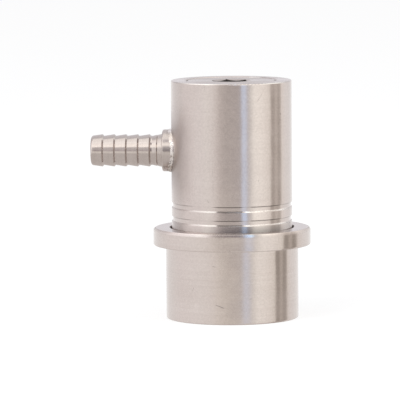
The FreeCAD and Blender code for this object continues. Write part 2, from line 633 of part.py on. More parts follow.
def make_collar_spring():
    """The spring that pushes the collar down, between the body's step and the seat ring."""
    return make_coil_spring(
        "collar_spring",
        SPRING_MEAN_R,
        SPRING_WIRE_WIDTH,
        "Sizes.spring_wire_height",
        SEAT_RING_TOP,
        BODY_STEP,
        "Sizes.spring_turns",
    )


def make_valve_spring():
    """The spring that closes the valve, between the poppet's head and the cap."""
    return make_coil_spring(
        "valve_spring",
        VALVE_SPRING_R,
        "Sizes.valve_spring_wire",
        "Sizes.valve_spring_wire",
        POPPET_TOP,
        THREAD_BOTTOM,
        "Sizes.valve_spring_turns",
    )


def make_valve_poppet():
    """The valve: a stem that a post pushes up, a head over the O-ring and a stub for the spring."""
    body = new_body("valve_poppet")
    turned(
        body,
        "Poppet",
        [
            ("0", STEM_TIP),
            (f"{STEM_R} - Sizes.stem_edge", STEM_TIP),
            (STEM_R, f"{STEM_TIP} + Sizes.stem_edge"),
            (STEM_R, POPPET_BOTTOM),
            (f"{POPPET_R} - Sizes.stem_edge", POPPET_BOTTOM),
            (POPPET_R, f"{POPPET_BOTTOM} + Sizes.stem_edge"),
            (POPPET_R, f"{POPPET_TOP} - Sizes.stem_edge"),
            (f"{POPPET_R} - Sizes.stem_edge", POPPET_TOP),
            (STUB_R, POPPET_TOP),
            (STUB_R, f"{POPPET_TOP} + Sizes.stub_length"),
            ("0", f"{POPPET_TOP} + Sizes.stub_length"),
        ],
    )
    return body


def make_ball(index):
    """One of the locking balls, spaced evenly round the nose."""
    label = f"ball_{index + 1}"
    ball = DOCUMENT.addObject("Part::Sphere", label)
    ball.Label = label
    angle = f"({index} * 360 / Sizes.ball_count)"
    ball.setExpression("Radius", BALL_R)
    ball.setExpression("Placement.Base.x", f"{BALL_CIRCLE_R} * cos({angle})")
    ball.setExpression("Placement.Base.y", f"{BALL_CIRCLE_R} * sin({angle})")
    ball.setExpression("Placement.Base.z", BALL_HEIGHT)
    return ball


def make_sub_parts():
    """Build every sub-part in the order in which they are put together."""
    sub_parts = [
        make_main_body(),
        make_hose_barb(),
        make_barb_weld(),
        make_valve_poppet(),
        make_o_ring("poppet_o_ring", VALVE_RING_CIRCLE_R, VALVE_RING_R, VALVE_RING_HEIGHT),
        make_valve_spring(),
        make_top_cap(),
        make_cap_o_ring(),
        make_collar_spring(),
        make_spring_seat_ring(),
        make_locking_collar(),
        make_retaining_ring(),
    ]
    for index in range(int(number("Sizes.ball_count"))):
        sub_parts.append(make_ball(index))
    return sub_parts


def check_document(sub_parts):
    """Stop if any object has failed or any sub-part isn't one sound solid."""
    for item in DOCUMENT.Objects:
        if {"Invalid", "Error"} & set(item.State):
            raise RuntimeError(f"{item.Name} has failed: {item.State}")
    for sub_part in sub_parts:
        shape = sub_part.Shape
        if shape.isNull() or not shape.isValid() or len(shape.Solids) != 1:
            raise RuntimeError(f"{sub_part.Label} isn't one sound solid")


def write_sub_parts(sub_parts):
    """Write each sub-part to its own file, named after its label."""
    os.makedirs("parts", exist_ok=True)
    for sub_part in sub_parts:
        sub_part.Shape.exportStep(f"parts/{sub_part.Label}.step")
        box = sub_part.Shape.BoundBox
        print(
            f"{sub_part.Label:18s} volume {sub_part.Shape.Volume:9.2f} mm3,"
            f" X {box.XMin:7.2f} to {box.XMax:6.2f}, Z {box.ZMin:6.2f} to {box.ZMax:6.2f}"
        )


fill_sheet()
SUB_PARTS = make_sub_parts()
DOCUMENT.recompute()
check_document(SUB_PARTS)
write_sub_parts(SUB_PARTS)
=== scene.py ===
# %% [markdown]
# # Ball lock disconnect in turned stainless steel
# The real object is a fitting for drinks and gas lines: a barrel turned from bar stock, a hose barb welded
# to its side, a socket-headed plug in its top and a sleeve that lifts to free eight locking balls.
# Nearly everything on it is bare metal, so its look is mostly what the metal reflects. The lesson follows
# that: first the view, then the room, then the metals, then the forms that are finer than the solids.

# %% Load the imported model
import json
import math

import bpy
import numpy as np
from mathutils import Matrix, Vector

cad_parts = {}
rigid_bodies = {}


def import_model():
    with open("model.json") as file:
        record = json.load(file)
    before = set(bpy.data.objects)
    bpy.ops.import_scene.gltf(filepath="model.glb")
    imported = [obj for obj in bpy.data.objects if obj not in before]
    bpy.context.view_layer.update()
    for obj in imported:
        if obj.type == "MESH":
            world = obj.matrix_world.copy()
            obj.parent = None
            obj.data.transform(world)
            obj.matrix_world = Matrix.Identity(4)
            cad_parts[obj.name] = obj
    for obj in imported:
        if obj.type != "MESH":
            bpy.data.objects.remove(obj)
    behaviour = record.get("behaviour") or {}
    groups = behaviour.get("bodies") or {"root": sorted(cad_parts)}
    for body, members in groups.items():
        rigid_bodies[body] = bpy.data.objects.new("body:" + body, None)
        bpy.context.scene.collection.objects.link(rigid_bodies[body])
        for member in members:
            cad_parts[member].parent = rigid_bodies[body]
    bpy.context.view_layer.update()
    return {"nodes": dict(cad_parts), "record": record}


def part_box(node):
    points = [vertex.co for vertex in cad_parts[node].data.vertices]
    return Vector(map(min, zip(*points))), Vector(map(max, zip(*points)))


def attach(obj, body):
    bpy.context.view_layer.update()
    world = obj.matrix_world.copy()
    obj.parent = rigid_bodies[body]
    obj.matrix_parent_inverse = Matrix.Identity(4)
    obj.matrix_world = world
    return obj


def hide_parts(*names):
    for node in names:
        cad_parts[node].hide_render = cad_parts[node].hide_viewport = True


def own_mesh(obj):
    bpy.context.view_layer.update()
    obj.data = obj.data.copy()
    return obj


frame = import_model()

NODES = frame["nodes"]

# %% Units
# Blender counts in metres, and this part is easier to think of in millimetres.
MM = 0.001

# %% [markdown]
# ## The view
# A long lens far away keeps the barrel's sides almost parallel. The camera stands a little above the
# fitting and a few degrees round from square to the barb, so the top shows as a thin ellipse and the barb
# points slightly away. It could be placed by eye, but a place worked out from lengths on the object gives
# the same picture each time.

# %% Camera
PICTURE_WIDTH = 400
FOCAL_PIXELS = 3967
SENSOR = 36.0
CAMERA_TURN = math.radians(3.9)
CAMERA_DISTANCE = 918 * MM
CAMERA_HEIGHT = 120.5 * MM
CAMERA_ROLL = math.radians(0.38)
CENTRE_HEIGHT = 27.4 * MM
CENTRE_ASIDE = 7.41 * MM
NEAR_CLIP = 50 * MM
FAR_CLIP = 20.0


def make_camera():
    """Stand a camera off the axis and aim it at the picture's centre, which lies to the barb's side."""
    towards = np.array([math.sin(CAMERA_TURN), -math.cos(CAMERA_TURN), 0])
    aside = np.array([math.cos(CAMERA_TURN), math.sin(CAMERA_TURN), 0])
    place = CAMERA_DISTANCE * towards + np.array([0, 0, CAMERA_HEIGHT])
    aim = -CENTRE_ASIDE * aside + np.array([0, 0, CENTRE_HEIGHT])
    back = (place - aim) / np.linalg.norm(place - aim)
    right = np.cross([0, 0, 1], back)
    right /= np.linalg.norm(right)
    up = np.cross(back, right)
    rolled_right = math.cos(CAMERA_ROLL) * right - math.sin(CAMERA_ROLL) * up
    rolled_up = math.sin(CAMERA_ROLL) * right + math.cos(CAMERA_ROLL) * up
    lens = bpy.data.cameras.new("camera")
    lens.sensor_width = SENSOR
    lens.lens = FOCAL_PIXELS / PICTURE_WIDTH * SENSOR
    lens.clip_start = NEAR_CLIP
    lens.clip_end = FAR_CLIP
    camera = bpy.data.objects.new("camera", lens)
    bpy.context.scene.collection.objects.link(camera)
    columns = zip(rolled_right, rolled_up, back, place)
    camera.matrix_world = Matrix([*columns, (0, 0, 0, 1)])
    bpy.context.scene.camera = camera
    return camera


CAMERA = make_camera()
print("lens:", round(CAMERA.data.lens, 1), "mm")

# %% [markdown]
# ## The room
# Turned metal is a mirror with a fine grain: the stripes down the barrel are the panels and the gaps of
# the studio round it. Real panels could stand round the object, but a small object on a floor sees them
# from below, and each camera angle would meet their edges. Here the sky itself holds the studio as bands
# of light round the compass, which only reflections see. Above the bands are a panel over the camera's side
# and a pale ceiling, for the edges that lean back. The camera sees plain white, and soft things are lit by
# an even pale light and two large lamps.

# %% Node helpers
def add_node(tree, kind, **settings):
    """Add a node and set some of its properties."""
    made = tree.nodes.new(kind)
    for name, value in settings.items():
        setattr(made, name, value)
    return made


def feed(tree, socket, value):
    """Give an input a number, a colour or another node's output."""
    if isinstance(value, bpy.types.NodeSocket):
        tree.links.new(value, socket)
    elif socket.type == "RGBA":
        socket.default_value = (*value, 1)
    else:
        socket.default_value = value


def wire(tree, made, *values, **named):
    """Feed a node's inputs, in their order or by name, and give its outputs."""
    for key, value in (*enumerate(values), *named.items()):
        feed(tree, made.inputs[key], value)
    return made.outputs


def maths(tree, operation, *values):
    """Join numbers and outputs in one calculation and give its output."""
    return wire(tree, add_node(tree, "ShaderNodeMath", operation=operation), *values)[0]


def times_plus(tree, value, factor, term):
    """Multiply a value by a factor and add a term."""
    return maths(tree, "MULTIPLY_ADD", value, factor, term)


def product(tree, *values):
    """Multiply two values or more, from the first to the last."""
    total = values[0]
    for value in values[1:]:
        total = maths(tree, "MULTIPLY", total, value)
    return total


def ramp(tree, value, low, high, to_low=0.0, to_high=1.0, kind="SMOOTHSTEP"):
    """Map a value from one range to another, held at the ends."""
    made = add_node(tree, "ShaderNodeMapRange", interpolation_type=kind)
    return wire(tree, made, value, low, high, to_low, to_high)["Result"]


def blend(tree, amount, first, second, kind="MIX"):
    """Blend two colours, each given as numbers or as an output."""
    made = add_node(tree, "ShaderNodeMix", data_type="RGBA", blend_type=kind)
    factor, _, _, _, _, _, first_socket, second_socket = made.inputs[:8]
    for socket, value in ((factor, amount), (first_socket, first), (second_socket, second)):
        feed(tree, socket, value)
    return made.outputs[2]


def grey(tree, value):
    """Make a colour whose three parts are one value."""
    return wire(tree, add_node(tree, "ShaderNodeCombineColor"), value, value, value)["Color"]


def parts_of(tree, vector):
    """Give a vector's three parts: across to the right, along away from the front, and the height."""
    return wire(tree, add_node(tree, "ShaderNodeSeparateXYZ"), vector)


def vector_of(tree, parts):
    """Make a vector of three outputs."""
    return wire(tree, add_node(tree, "ShaderNodeCombineXYZ"), *parts)[0]


def angle_round(tree, across, along):
    """Angle round the axis in radians, which is 0 at the front and grows to the right."""
    return maths(tree, "ARCTAN2", across, product(tree, along, -1))


def distance_of(tree, first, second):
    """Length of the hypotenuse over two values."""
    squares = (product(tree, value, value) for value in (first, second))
    return maths(tree, "SQRT", maths(tree, "ADD", *squares))


def round_axis(tree, place):
    """Give the angle round from the front, the distance off the axis and the height."""
    across, along, height = parts_of(tree, place)
    return angle_round(tree, across, along), distance_of(tree, across, along), height


print("node helpers: ready")

# %% Bands of light round the compass
# Degrees round from the camera, to its right, and how bright the studio is there in red, green and blue.
# The low bands lie under eye level and the high ones above it. The dark gap is where the camera stands.
LOW_BANDS = [
    (-180, (1.02, 1.02, 1.02)),
    (-135, (0.98, 0.97, 0.97)),
    (-100, (1.02, 0.99, 0.99)),
    (-64, (1.05, 1.03, 1.02)),
    (-40, (1.0, 0.97, 0.95)),
    (-24, (0.96, 0.92, 0.87)),
    (-8, (0.89, 0.845, 0.79)),
    (14, (0.88, 0.84, 0.80)),
    (22, (0.92, 0.92, 0.97)),
    (30, (0.92, 0.91, 0.93)),
    (36, (1.02, 1.0, 0.96)),
    (46, (1.14, 1.12, 1.08)),
    (60, (1.10, 1.07, 1.03)),
    (79.5, (0.98, 0.94, 0.88)),
    (83, (0.46, 0.42, 0.38)),
    (89, (0.44, 0.40, 0.36)),
    (92.5, (0.62, 0.57, 0.52)),
    (97.5, (0.62, 0.57, 0.52)),
    (100.5, (0.44, 0.40, 0.36)),
    (108, (0.50, 0.46, 0.42)),
    (112.5, (0.95, 0.91, 0.87)),
    (125, (1.0, 0.98, 0.97)),
    (180, (1.02, 1.02, 1.02)),
]
HIGH_BANDS = [
    (-180, (0.81, 0.79, 0.82)),
    (-160, (0.81, 0.79, 0.82)),
    (-140, (0.70, 0.68, 0.70)),
    (-114, (0.66, 0.62, 0.62)),
    (-99, (0.94, 0.89, 0.89)),
    (-62, (0.96, 0.92, 0.92)),
    (-48, (1.10, 1.10, 1.07)),
    (-36, (1.02, 0.98, 0.97)),
    (-29, (0.76, 0.70, 0.70)),
    (-22, (0.36, 0.31, 0.32)),
    (-12, (0.19, 0.16, 0.18)),
    (17, (0.19, 0.16, 0.19)),
    (20.5, (0.66, 0.90, 1.28)),
    (22, (0.78, 1.10, 1.62)),
    (27.5, (0.78, 1.05, 1.52)),
    (30.5, (0.50, 0.52, 0.60)),
    (36, (0.75, 0.74, 0.74)),
    (43, (1.42, 1.42, 1.34)),
    (58, (1.42, 1.40, 1.32)),
    (76, (1.18, 1.13, 1.07)),
    (82, (0.84, 0.78, 0.73)),
    (90, (0.80, 0.74, 0.69)),
    (96, (0.95, 0.89, 0.84)),
    (104, (0.88, 0.82, 0.77)),
    (110, (1.3, 1.25, 1.2)),
    (125, (1.08, 1.07, 1.06)),
    (145, (0.74, 0.73, 0.73)),
    (160, (0.81, 0.79, 0.82)),
    (180, (0.81, 0.79, 0.82)),
]
print("studio bands:", len(LOW_BANDS), "low and", len(HIGH_BANDS), "high")

# %% Levels of the room
# Each of these is a ramp: from where to where, and then the amounts there if they aren't 0 and 1. Heights
# and the direction towards the camera are parts of a vector of length 1, so they go from -1 to 1.
EYE_LEVEL = (-0.08, 0.0)
TABLE_HEIGHT = (-0.16, -0.35)
BRIGHTER_HEIGHT = (0.08, 0.25)
BRIGHTER_SIDE = (-0.3, 0.1, 0.0, 0.35)
OVER_CAMERA_HEIGHT = (0.11, 0.2)
OVER_CAMERA_SIDE = (0.55, 0.8, 0.0, 0.6)
PANEL_LOWER_EDGE = (0.42, 0.48)
PANEL_UPPER_EDGE = (0.80, 0.70, 0.1, 1.0)
PANEL_SIDE = (0.2, 0.35)
CEILING_HEIGHT = (0.89, 0.95)
# These are colours. The dark gap fades to the second one above the camera.
TABLE = (0.72, 0.68, 0.66)
OVER_CAMERA = (0.62, 0.60, 0.60)
OVERHEAD_PANEL = (1.5, 1.45, 1.4)
CEILING = (1.3, 1.27, 1.24)
EVEN_LIGHT = (0.56, 0.56, 0.57)


def fill_bands(band, stops):
    """Set a colour band's stops, each a place from 0 to 1 and a colour."""
    while len(band.elements) < len(stops):
        band.elements.new(0.5)
    for element, (place, colour) in zip(band.elements, stops):
        element.position = place
        element.color = (*colour, 1)


def compass_bands(tree, angle, bands):
    """Look up bands by an angle in radians, where 0 is the front or the camera's side."""
    made = add_node(tree, "ShaderNodeValToRGB")
    fill_bands(made.color_ramp, [((degrees + 180) / 360, colour) for degrees, colour in bands])
    return wire(tree, made, times_plus(tree, angle, 1 / (2 * math.pi), 0.5))["Color"]


def make_sky():
    """Build the sky: bands round the compass for reflections, white for the camera, even light for others."""
    world = bpy.data.worlds.new("studio")
    bpy.context.scene.world = world
    world.use_nodes = True
    tree = world.node_tree
    tree.nodes.clear()
    direction = add_node(tree, "ShaderNodeTexCoord").outputs["Generated"]
    turned = add_node(tree, "ShaderNodeVectorRotate", rotation_type="Z_AXIS")
    across, along, height = parts_of(tree, wire(tree, turned, Vector=direction, Angle=-CAMERA_TURN)[0])
    angle = angle_round(tree, across, along)
    low, high = (compass_bands(tree, angle, bands) for bands in (LOW_BANDS, HIGH_BANDS))
    towards_camera = product(tree, along, -1)
    in_front = ramp(tree, towards_camera, *BRIGHTER_SIDE)
    brighter = times_plus(tree, ramp(tree, height, *BRIGHTER_HEIGHT), in_front, 1.0)
    high = blend(tree, 1.0, high, grey(tree, brighter), "MULTIPLY")
    over_camera = product(tree, ramp(tree, height, *OVER_CAMERA_HEIGHT),
                          ramp(tree, towards_camera, *OVER_CAMERA_SIDE))
    high = blend(tree, over_camera, high, OVER_CAMERA)
    studio = blend(tree, ramp(tree, height, *TABLE_HEIGHT), low, TABLE)
    studio = blend(tree, ramp(tree, height, *EYE_LEVEL), studio, high)
    panel = product(tree, ramp(tree, height, *PANEL_LOWER_EDGE), ramp(tree, height, *PANEL_UPPER_EDGE),
                    ramp(tree, towards_camera, *PANEL_SIDE))
    studio = blend(tree, panel, studio, OVERHEAD_PANEL)
    studio = blend(tree, ramp(tree, height, *CEILING_HEIGHT), studio, CEILING)
    rays = add_node(tree, "ShaderNodeLightPath").outputs
    mirror = maths(tree, "MAXIMUM", rays["Is Glossy Ray"], rays["Is Transmission Ray"])
    seen = blend(tree, mirror, EVEN_LIGHT, studio)
    seen = blend(tree, rays["Is Camera Ray"], seen, (1, 1, 1))
    background = wire(tree, add_node(tree, "ShaderNodeBackground"), Color=seen)[0]
    wire(tree, add_node(tree, "ShaderNodeOutputWorld"), Surface=background)


make_sky()
print("sky nodes:", len(bpy.context.scene.world.node_tree.nodes))

# %% Lamps
# Two large soft lamps, which reflections don't see because the sky's bands stand for them there. For each:
# its place and its side in metres, and its power in watts.
LAMPS = {
    "key_lamp": ((-0.55, -0.75, 0.95), 0.7, 4.5),
    "fill_lamp": ((0.85, -0.35, 0.6), 0.6, 2.2),
}


def make_lamp(name, place, size, power):
    """Hang a square lamp that faces the object."""
    light = bpy.data.lights.new(name, "AREA")
    light.size = size
    light.energy = power
    lamp = bpy.data.objects.new(name, light)
    lamp.location = place
    lamp.rotation_euler = lamp.location.to_track_quat("Z", "Y").to_euler()
    lamp.visible_glossy = False
    bpy.context.scene.collection.objects.link(lamp)


for lamp_name, (lamp_place, lamp_size, lamp_power) in LAMPS.items():
    make_lamp(lamp_name, lamp_place, lamp_size, lamp_power)
bpy.context.scene.view_settings.view_transform = "Standard"
print("lamps:", ", ".join(LAMPS))

# %% [markdown]
# ## The floor
# The fitting stands on a white sweep whose far edge can't be seen. A floor lit only by lamps would turn
# grey towards the camera, so part of its white is its own light, and the rest still takes the shadow.
# Its underside lets the camera through, so that the fitting can be looked at from below.

# %% Floor
FLOOR_SIZE = 6.0
FLOOR_DROP = 0.03 * MM
FLOOR_PAPER = (0.42, 0.42, 0.42)
FLOOR_GLOW = 0.72


def make_floor_material():
    """White that keeps a soft shadow for the camera, plain white for other rays, clear from below."""
    material = bpy.data.materials.new("floor_white")
    material.use_nodes = True
    tree = material.node_tree
    tree.nodes.clear()
    camera_ray = add_node(tree, "ShaderNodeLightPath").outputs["Is Camera Ray"]
    paper = wire(tree, add_node(tree, "ShaderNodeBsdfDiffuse"), Color=FLOOR_PAPER)[0]
    glow = wire(tree, add_node(tree, "ShaderNodeEmission"), Strength=product(tree, camera_ray, FLOOR_GLOW))[0]
    lit = wire(tree, add_node(tree, "ShaderNodeAddShader"), paper, glow)[0]
    clear = add_node(tree, "ShaderNodeBsdfTransparent").outputs[0]
    from_below = add_node(tree, "ShaderNodeNewGeometry").outputs["Backfacing"]
    sided = wire(tree, add_node(tree, "ShaderNodeMixShader"), from_below, lit, clear)[0]
    wire(tree, add_node(tree, "ShaderNodeOutputMaterial"), Surface=sided)
    return material


def make_floor():
    """Lay one flat sheet just under the collar's rim."""
    half = FLOOR_SIZE / 2
    corners = [(-half, -half), (half, -half), (half, half), (-half, half)]
    sheet = bpy.data.meshes.new("floor")
    sheet.from_pydata([(x, y, -FLOOR_DROP) for x, y in corners], [], [(0, 1, 2, 3)])
    sheet.materials.append(make_floor_material())
    floor = bpy.data.objects.new("floor", sheet)
    floor.visible_glossy = False
    bpy.context.scene.collection.objects.link(floor)


make_floor()
print("floor:", FLOOR_SIZE, "m")

# %% [markdown]
# ## Marks that every turned piece has
# A lathe tool leaves rings: fine ones from its feed and broader ones where the feed or the pressure
# changed. Handling adds hairline scratches and dull smudges. Each of these is one node group, built once
# and used by all the metals with their own amounts. The rings are worked out from the distance off the axis
# and the height along it, so they follow barrels and end faces alike.

# %% Group helpers
def new_group(name, inputs, outputs):
    """Start a node group with named inputs, each with its start value, and named outputs of one number."""
    tree = bpy.data.node_groups.new(name, "ShaderNodeTree")
    for socket_name, start in inputs.items():
        kind = "NodeSocketVector" if start is None else "NodeSocketFloat"
        socket = tree.interface.new_socket(socket_name, in_out="INPUT", socket_type=kind)
        if start is not None:
            socket.default_value = start
    for socket_name in outputs:
        tree.interface.new_socket(socket_name, in_out="OUTPUT", socket_type="NodeSocketFloat")
    return tree, add_node(tree, "NodeGroupInput").outputs, add_node(tree, "NodeGroupOutput")


def noise(tree, vector, scale, detail=2.0, roughness=0.5):
    """Smooth random values from 0 to 1 in space, finer with a larger scale."""
    made = add_node(tree, "ShaderNodeTexNoise")
    return wire(tree, made, Vector=vector, Scale=scale, Detail=detail, Roughness=roughness)["Fac"]


print("group helpers: ready")

# %% Rings of the lathe tool
# How far the pattern moves on in one turn round the axis, which keeps the rings from being quite perfect.
RING_DRIFT = 0.00012


def make_turned_rings():
    """Height and shade from a noise that changes along the height and the radius, hardly round the axis."""
    sizes = {"Vector": None, "Fine": 5200.0, "Broad": 900.0}
    tree, given, result = new_group("turned rings", sizes, ("Height", "Shade"))
    across, along, height = parts_of(tree, given["Vector"])
    radius = distance_of(tree, across, along)
    drift = product(tree, maths(tree, "ARCTAN2", across, along), RING_DRIFT)
    rings = vector_of(tree, (radius, drift, height))
    fine = noise(tree, rings, given["Fine"], 3.0, 0.6)
    broad = noise(tree, rings, given["Broad"], 2.0, 0.5)
    shade = times_plus(tree, broad, 0.4, product(tree, fine, 0.6))
    wire(tree, result, Height=times_plus(tree, broad, 0.8, fine), Shade=ramp(tree, shade, 0.3, 0.7))
    return tree


TURNED_RINGS = make_turned_rings()
print("group:", TURNED_RINGS.name)

# %% Handling marks
# Hairlines come from a noise drawn out along one slanted direction. Patches of another noise hold them.
HAIRLINE_TURN = (0.5, 0.35, 0.7)
HAIRLINE_SHIFT = (0.009, 0.003, 0)
HAIRLINE_STRETCH = (1, 1, 0.12)
HAIRLINE_PATCHES = 210.0
SMUDGES = 95.0


def make_handling():
    """Hairlines where a smooth noise crosses its middle value, in patches, and broad dull smudges."""
    sizes = {"Vector": None, "Hairline Scale": 140.0, "Hairline Width": 0.0032}
    tree, given, result = new_group("handling marks", sizes, ("Hairlines", "Smudges"))
    slanted = wire(tree, add_node(tree, "ShaderNodeMapping"), given["Vector"], HAIRLINE_SHIFT, HAIRLINE_TURN,
                   HAIRLINE_STRETCH)[0]
    field = noise(tree, slanted, given["Hairline Scale"], 0.0)
    distance = maths(tree, "ABSOLUTE", maths(tree, "SUBTRACT", field, 0.5))
    line = maths(tree, "SUBTRACT", 1.0, maths(tree, "DIVIDE", distance, given["Hairline Width"]))
    patches = ramp(tree, noise(tree, given["Vector"], HAIRLINE_PATCHES, 2.0), 0.56, 0.66)
    hairlines = product(tree, maths(tree, "MAXIMUM", line, 0.0), patches)
    smudges = noise(tree, given["Vector"], SMUDGES, 4.0, 0.6)
    wire(tree, result, Hairlines=hairlines, Smudges=ramp(tree, smudges, 0.35, 0.7))
    return tree


HANDLING = make_handling()
print("group:", HANDLING.name)

# %% Skin of the metal
def make_skin():
    """A fine speckle for the shade, and shallow dents that make mirrored edges wander a little."""
    sizes = {"Vector": None, "Speckle Scale": 1900.0, "Dent Scale": 260.0}
    tree, given, result = new_group("metal skin", sizes, ("Speckle", "Dents"))
    speckle = noise(tree, given["Vector"], given["Speckle Scale"], 2.0, 0.7)
    wire(tree, result, Speckle=ramp(tree, speckle, 0.3, 0.7),
         Dents=noise(tree, given["Vector"], given["Dent Scale"], 1.0))
    return tree


SKIN = make_skin()
print("group:", SKIN.name)

# %% [markdown]
# ## Turned stainless steel
# The barrel, the sleeve, the plug and the barb come off the same kind of bar, with a slightly warm grey.
# The grooves of the tool run round the axis, so a highlight stays narrow across them and is drawn out
# along the axis. The shader's anisotropy does that, with its direction taken from the axis of turning.
# A plain round highlight would blur the stripes, which are what tells the eye that the metal is turned.

# %% Material helpers
def place_group(tree, group, vector):
    """Put a group in a material's tree, feed its vector and give its outputs."""
    return wire(tree, add_node(tree, "ShaderNodeGroup", node_tree=group), vector)


def new_material(name):
    """Start a material, and give it with its tree, its shader and its own place vector."""
    material = bpy.data.materials.new(name)
    material.use_nodes = True
    tree = material.node_tree
    shader = tree.nodes["Principled BSDF"]
    return material, tree, shader, add_node(tree, "ShaderNodeTexCoord").outputs["Object"]


def add_bump(tree, height, distance, strength):
    """Tilt the shading by a height field of the given depth."""
    bump = add_node(tree, "ShaderNodeBump")
    wire(tree, bump, Strength=strength, Distance=distance, Height=height)
    return bump


print("material helpers: ready")

# %% Filed edges
# The solids' edges are evenly round. A file leaves them steeper, so that they mirror the room near eye
# level. The pieces are filed only below the given height, so the barrel's top edge stays round.
FILED_BELOW = 30 * MM
FILED_STEEPNESS = 0.12
FILED_ROUGHNESS = 0.12
LEVEL_FACE = (0.94, 0.99)
SLANTED_FACE = (0.1, 0.35)


def filed_normal(tree, place):
    """Lay the slanted normals of rounded edges flatter, and give these normals and where they are.

    The walls and the level faces stay as they are.
    """
    _, _, place_height = parts_of(tree, place)
    across, along, upward = parts_of(tree, add_node(tree, "ShaderNodeNewGeometry").outputs["Normal"])
    kept = ramp(tree, place_height, FILED_BELOW, FILED_BELOW + 0.1 * MM, FILED_STEEPNESS, 1.0)
    kept = maths(tree, "MAXIMUM", kept, ramp(tree, upward, *LEVEL_FACE))
    flatter = vector_of(tree, (across, along, product(tree, upward, kept)))
    unit = wire(tree, add_node(tree, "ShaderNodeVectorMath", operation="NORMALIZE"), flatter)[0]
    slanted = ramp(tree, upward, *SLANTED_FACE)
    return unit, product(tree, slanted, maths(tree, "SUBTRACT", 1.0, kept))


print("filed edges: below", round(FILED_BELOW / MM), "mm")

# %% Turned steel
# A turning is a shift, a turn and the axis of the tangent, which bring the axis of the lathe to Z.
BARB_AXIS_HEIGHT = (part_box("hose_barb")[0].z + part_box("hose_barb")[1].z) / 2
UPRIGHT = ((0, 0, 0), (0, 0, 0), "Z")
ALONG_BARB = ((0, 0, -BARB_AXIS_HEIGHT), (0, -math.pi / 2, 0), "X")
SPECKLE = 0.035
DENT_DEPTH = 0.025 * MM
HAIRLINE_COLOUR = (0.30, 0.27, 0.25)
HAIRLINE_SHADE = 0.35
HAIRLINE_DULL = 0.15
HAIRLINE_DEPTH = 0.5
SMUDGE_DULL = 0.08
DIRT_AND_SHADE_DULL = 0.5
ACROSS_THE_AXIS = 0.25


def turn_place(tree, place, shift, turn):
    """Bring a place vector to the lathe's axis."""
    centred = wire(tree, add_node(tree, "ShaderNodeVectorMath", operation="ADD"), place, shift)[0]
    turned = add_node(tree, "ShaderNodeVectorRotate", rotation_type="EULER_XYZ")
    return wire(tree, turned, Vector=centred, Rotation=turn)[0]


def turned_steel(name, light, dark, roughness, ring_depth, grain=0.8, turning=UPRIGHT, stain=None,
                 lean=None, filed=False):
    """Steel turned about an axis: rings, smudges and hairlines over an anisotropic shader.

    A stain changes the colour with stains, painted shade and painted highlights, and dulls the surface
    in places, down to a bare non-metal where it is full. A lean tilts the surface in places. Filed edges
    look as if a file had made them steeper.
    """
    material, tree, shader, place = new_material(name)
    *move, axis = turning
    rings = place_group(tree, TURNED_RINGS, turn_place(tree, place, *move))
    handling, skin = (place_group(tree, group, place) for group in (HANDLING, SKIN))
    colour = blend(tree, rings["Shade"], dark, light)
    shade = times_plus(tree, skin["Speckle"], 2 * SPECKLE, 1 - SPECKLE)
    colour = blend(tree, 1.0, colour, grey(tree, shade), "MULTIPLY")
    hairlines = product(tree, handling["Hairlines"], HAIRLINE_SHADE)
    colour = blend(tree, hairlines, colour, HAIRLINE_COLOUR)
    dull = times_plus(tree, handling["Smudges"], SMUDGE_DULL, roughness - 0.03)
    dull = times_plus(tree, handling["Hairlines"], HAIRLINE_DULL, dull)
    metallic = 1.0
    if stain:
        colour, dirt_and_shade = stain(tree, place, colour)
        dull = times_plus(tree, dirt_and_shade, DIRT_AND_SHADE_DULL, dull)
        metallic = ramp(tree, dirt_and_shade, 0.5, 1.0, 1.0, 0.0)
    normal = None
    if filed:
        normal, filed_edge = filed_normal(tree, place)
        dull = times_plus(tree, filed_edge, FILED_ROUGHNESS, dull)
    scratched = times_plus(tree, handling["Hairlines"], -HAIRLINE_DEPTH, rings["Height"])
    bumps = [add_bump(tree, skin["Dents"], DENT_DEPTH, 1.0), add_bump(tree, scratched, ring_depth, 0.5)]
    if lean:
        bumps.insert(0, add_bump(tree, lean(tree, place), 1.0, 1.0))
    for bump in bumps:
        if normal:
            wire(tree, bump, Normal=normal)
        normal = bump.outputs["Normal"]
    tangent = add_node(tree, "ShaderNodeTangent", direction_type="RADIAL", axis=axis).outputs[0]
    wire(tree, shader, colour, metallic, dull, Anisotropic=grain, Tangent=tangent, Normal=normal)
    wire(tree, shader, **{"Anisotropic Rotation": ACROSS_THE_AXIS})
    return material


print("barb axis at", round(BARB_AXIS_HEIGHT / MM, 3), "mm")

# %% [markdown]
# ## Stains, wear and painted light
# A fitting in use isn't evenly clean. The weld leaves rings of heat tint and a duller skin, and tools leave
# nicks. Painted shade darkens the grooves, the foot above the flange and the plug's socket, and painted
# highlights brighten the grooves' lower lips, the barrel's rim, the flange's round edge and the edge behind
# the plug. Each of these is a mask worked out from the height, the distance off the axis and the angle round
# it, and blended over the colour. Painting them as a picture would also work, but a mask stays sharp at any
# size.

# %% Mask helpers
def patches_round(*stops):
    """Turn pairs of degrees and an amount into grey bands for compass_bands."""
    return [(degrees, (amount, amount, amount)) for degrees, amount in stops]


def between(tree, angle, rise, fall, most=1.0):
    """A mask that rises between two angles and falls between two others, all in degrees."""
    rising = ramp(tree, angle, *map(math.radians, rise), 0.0, most)
    return product(tree, rising, ramp(tree, angle, *map(math.radians, fall)))


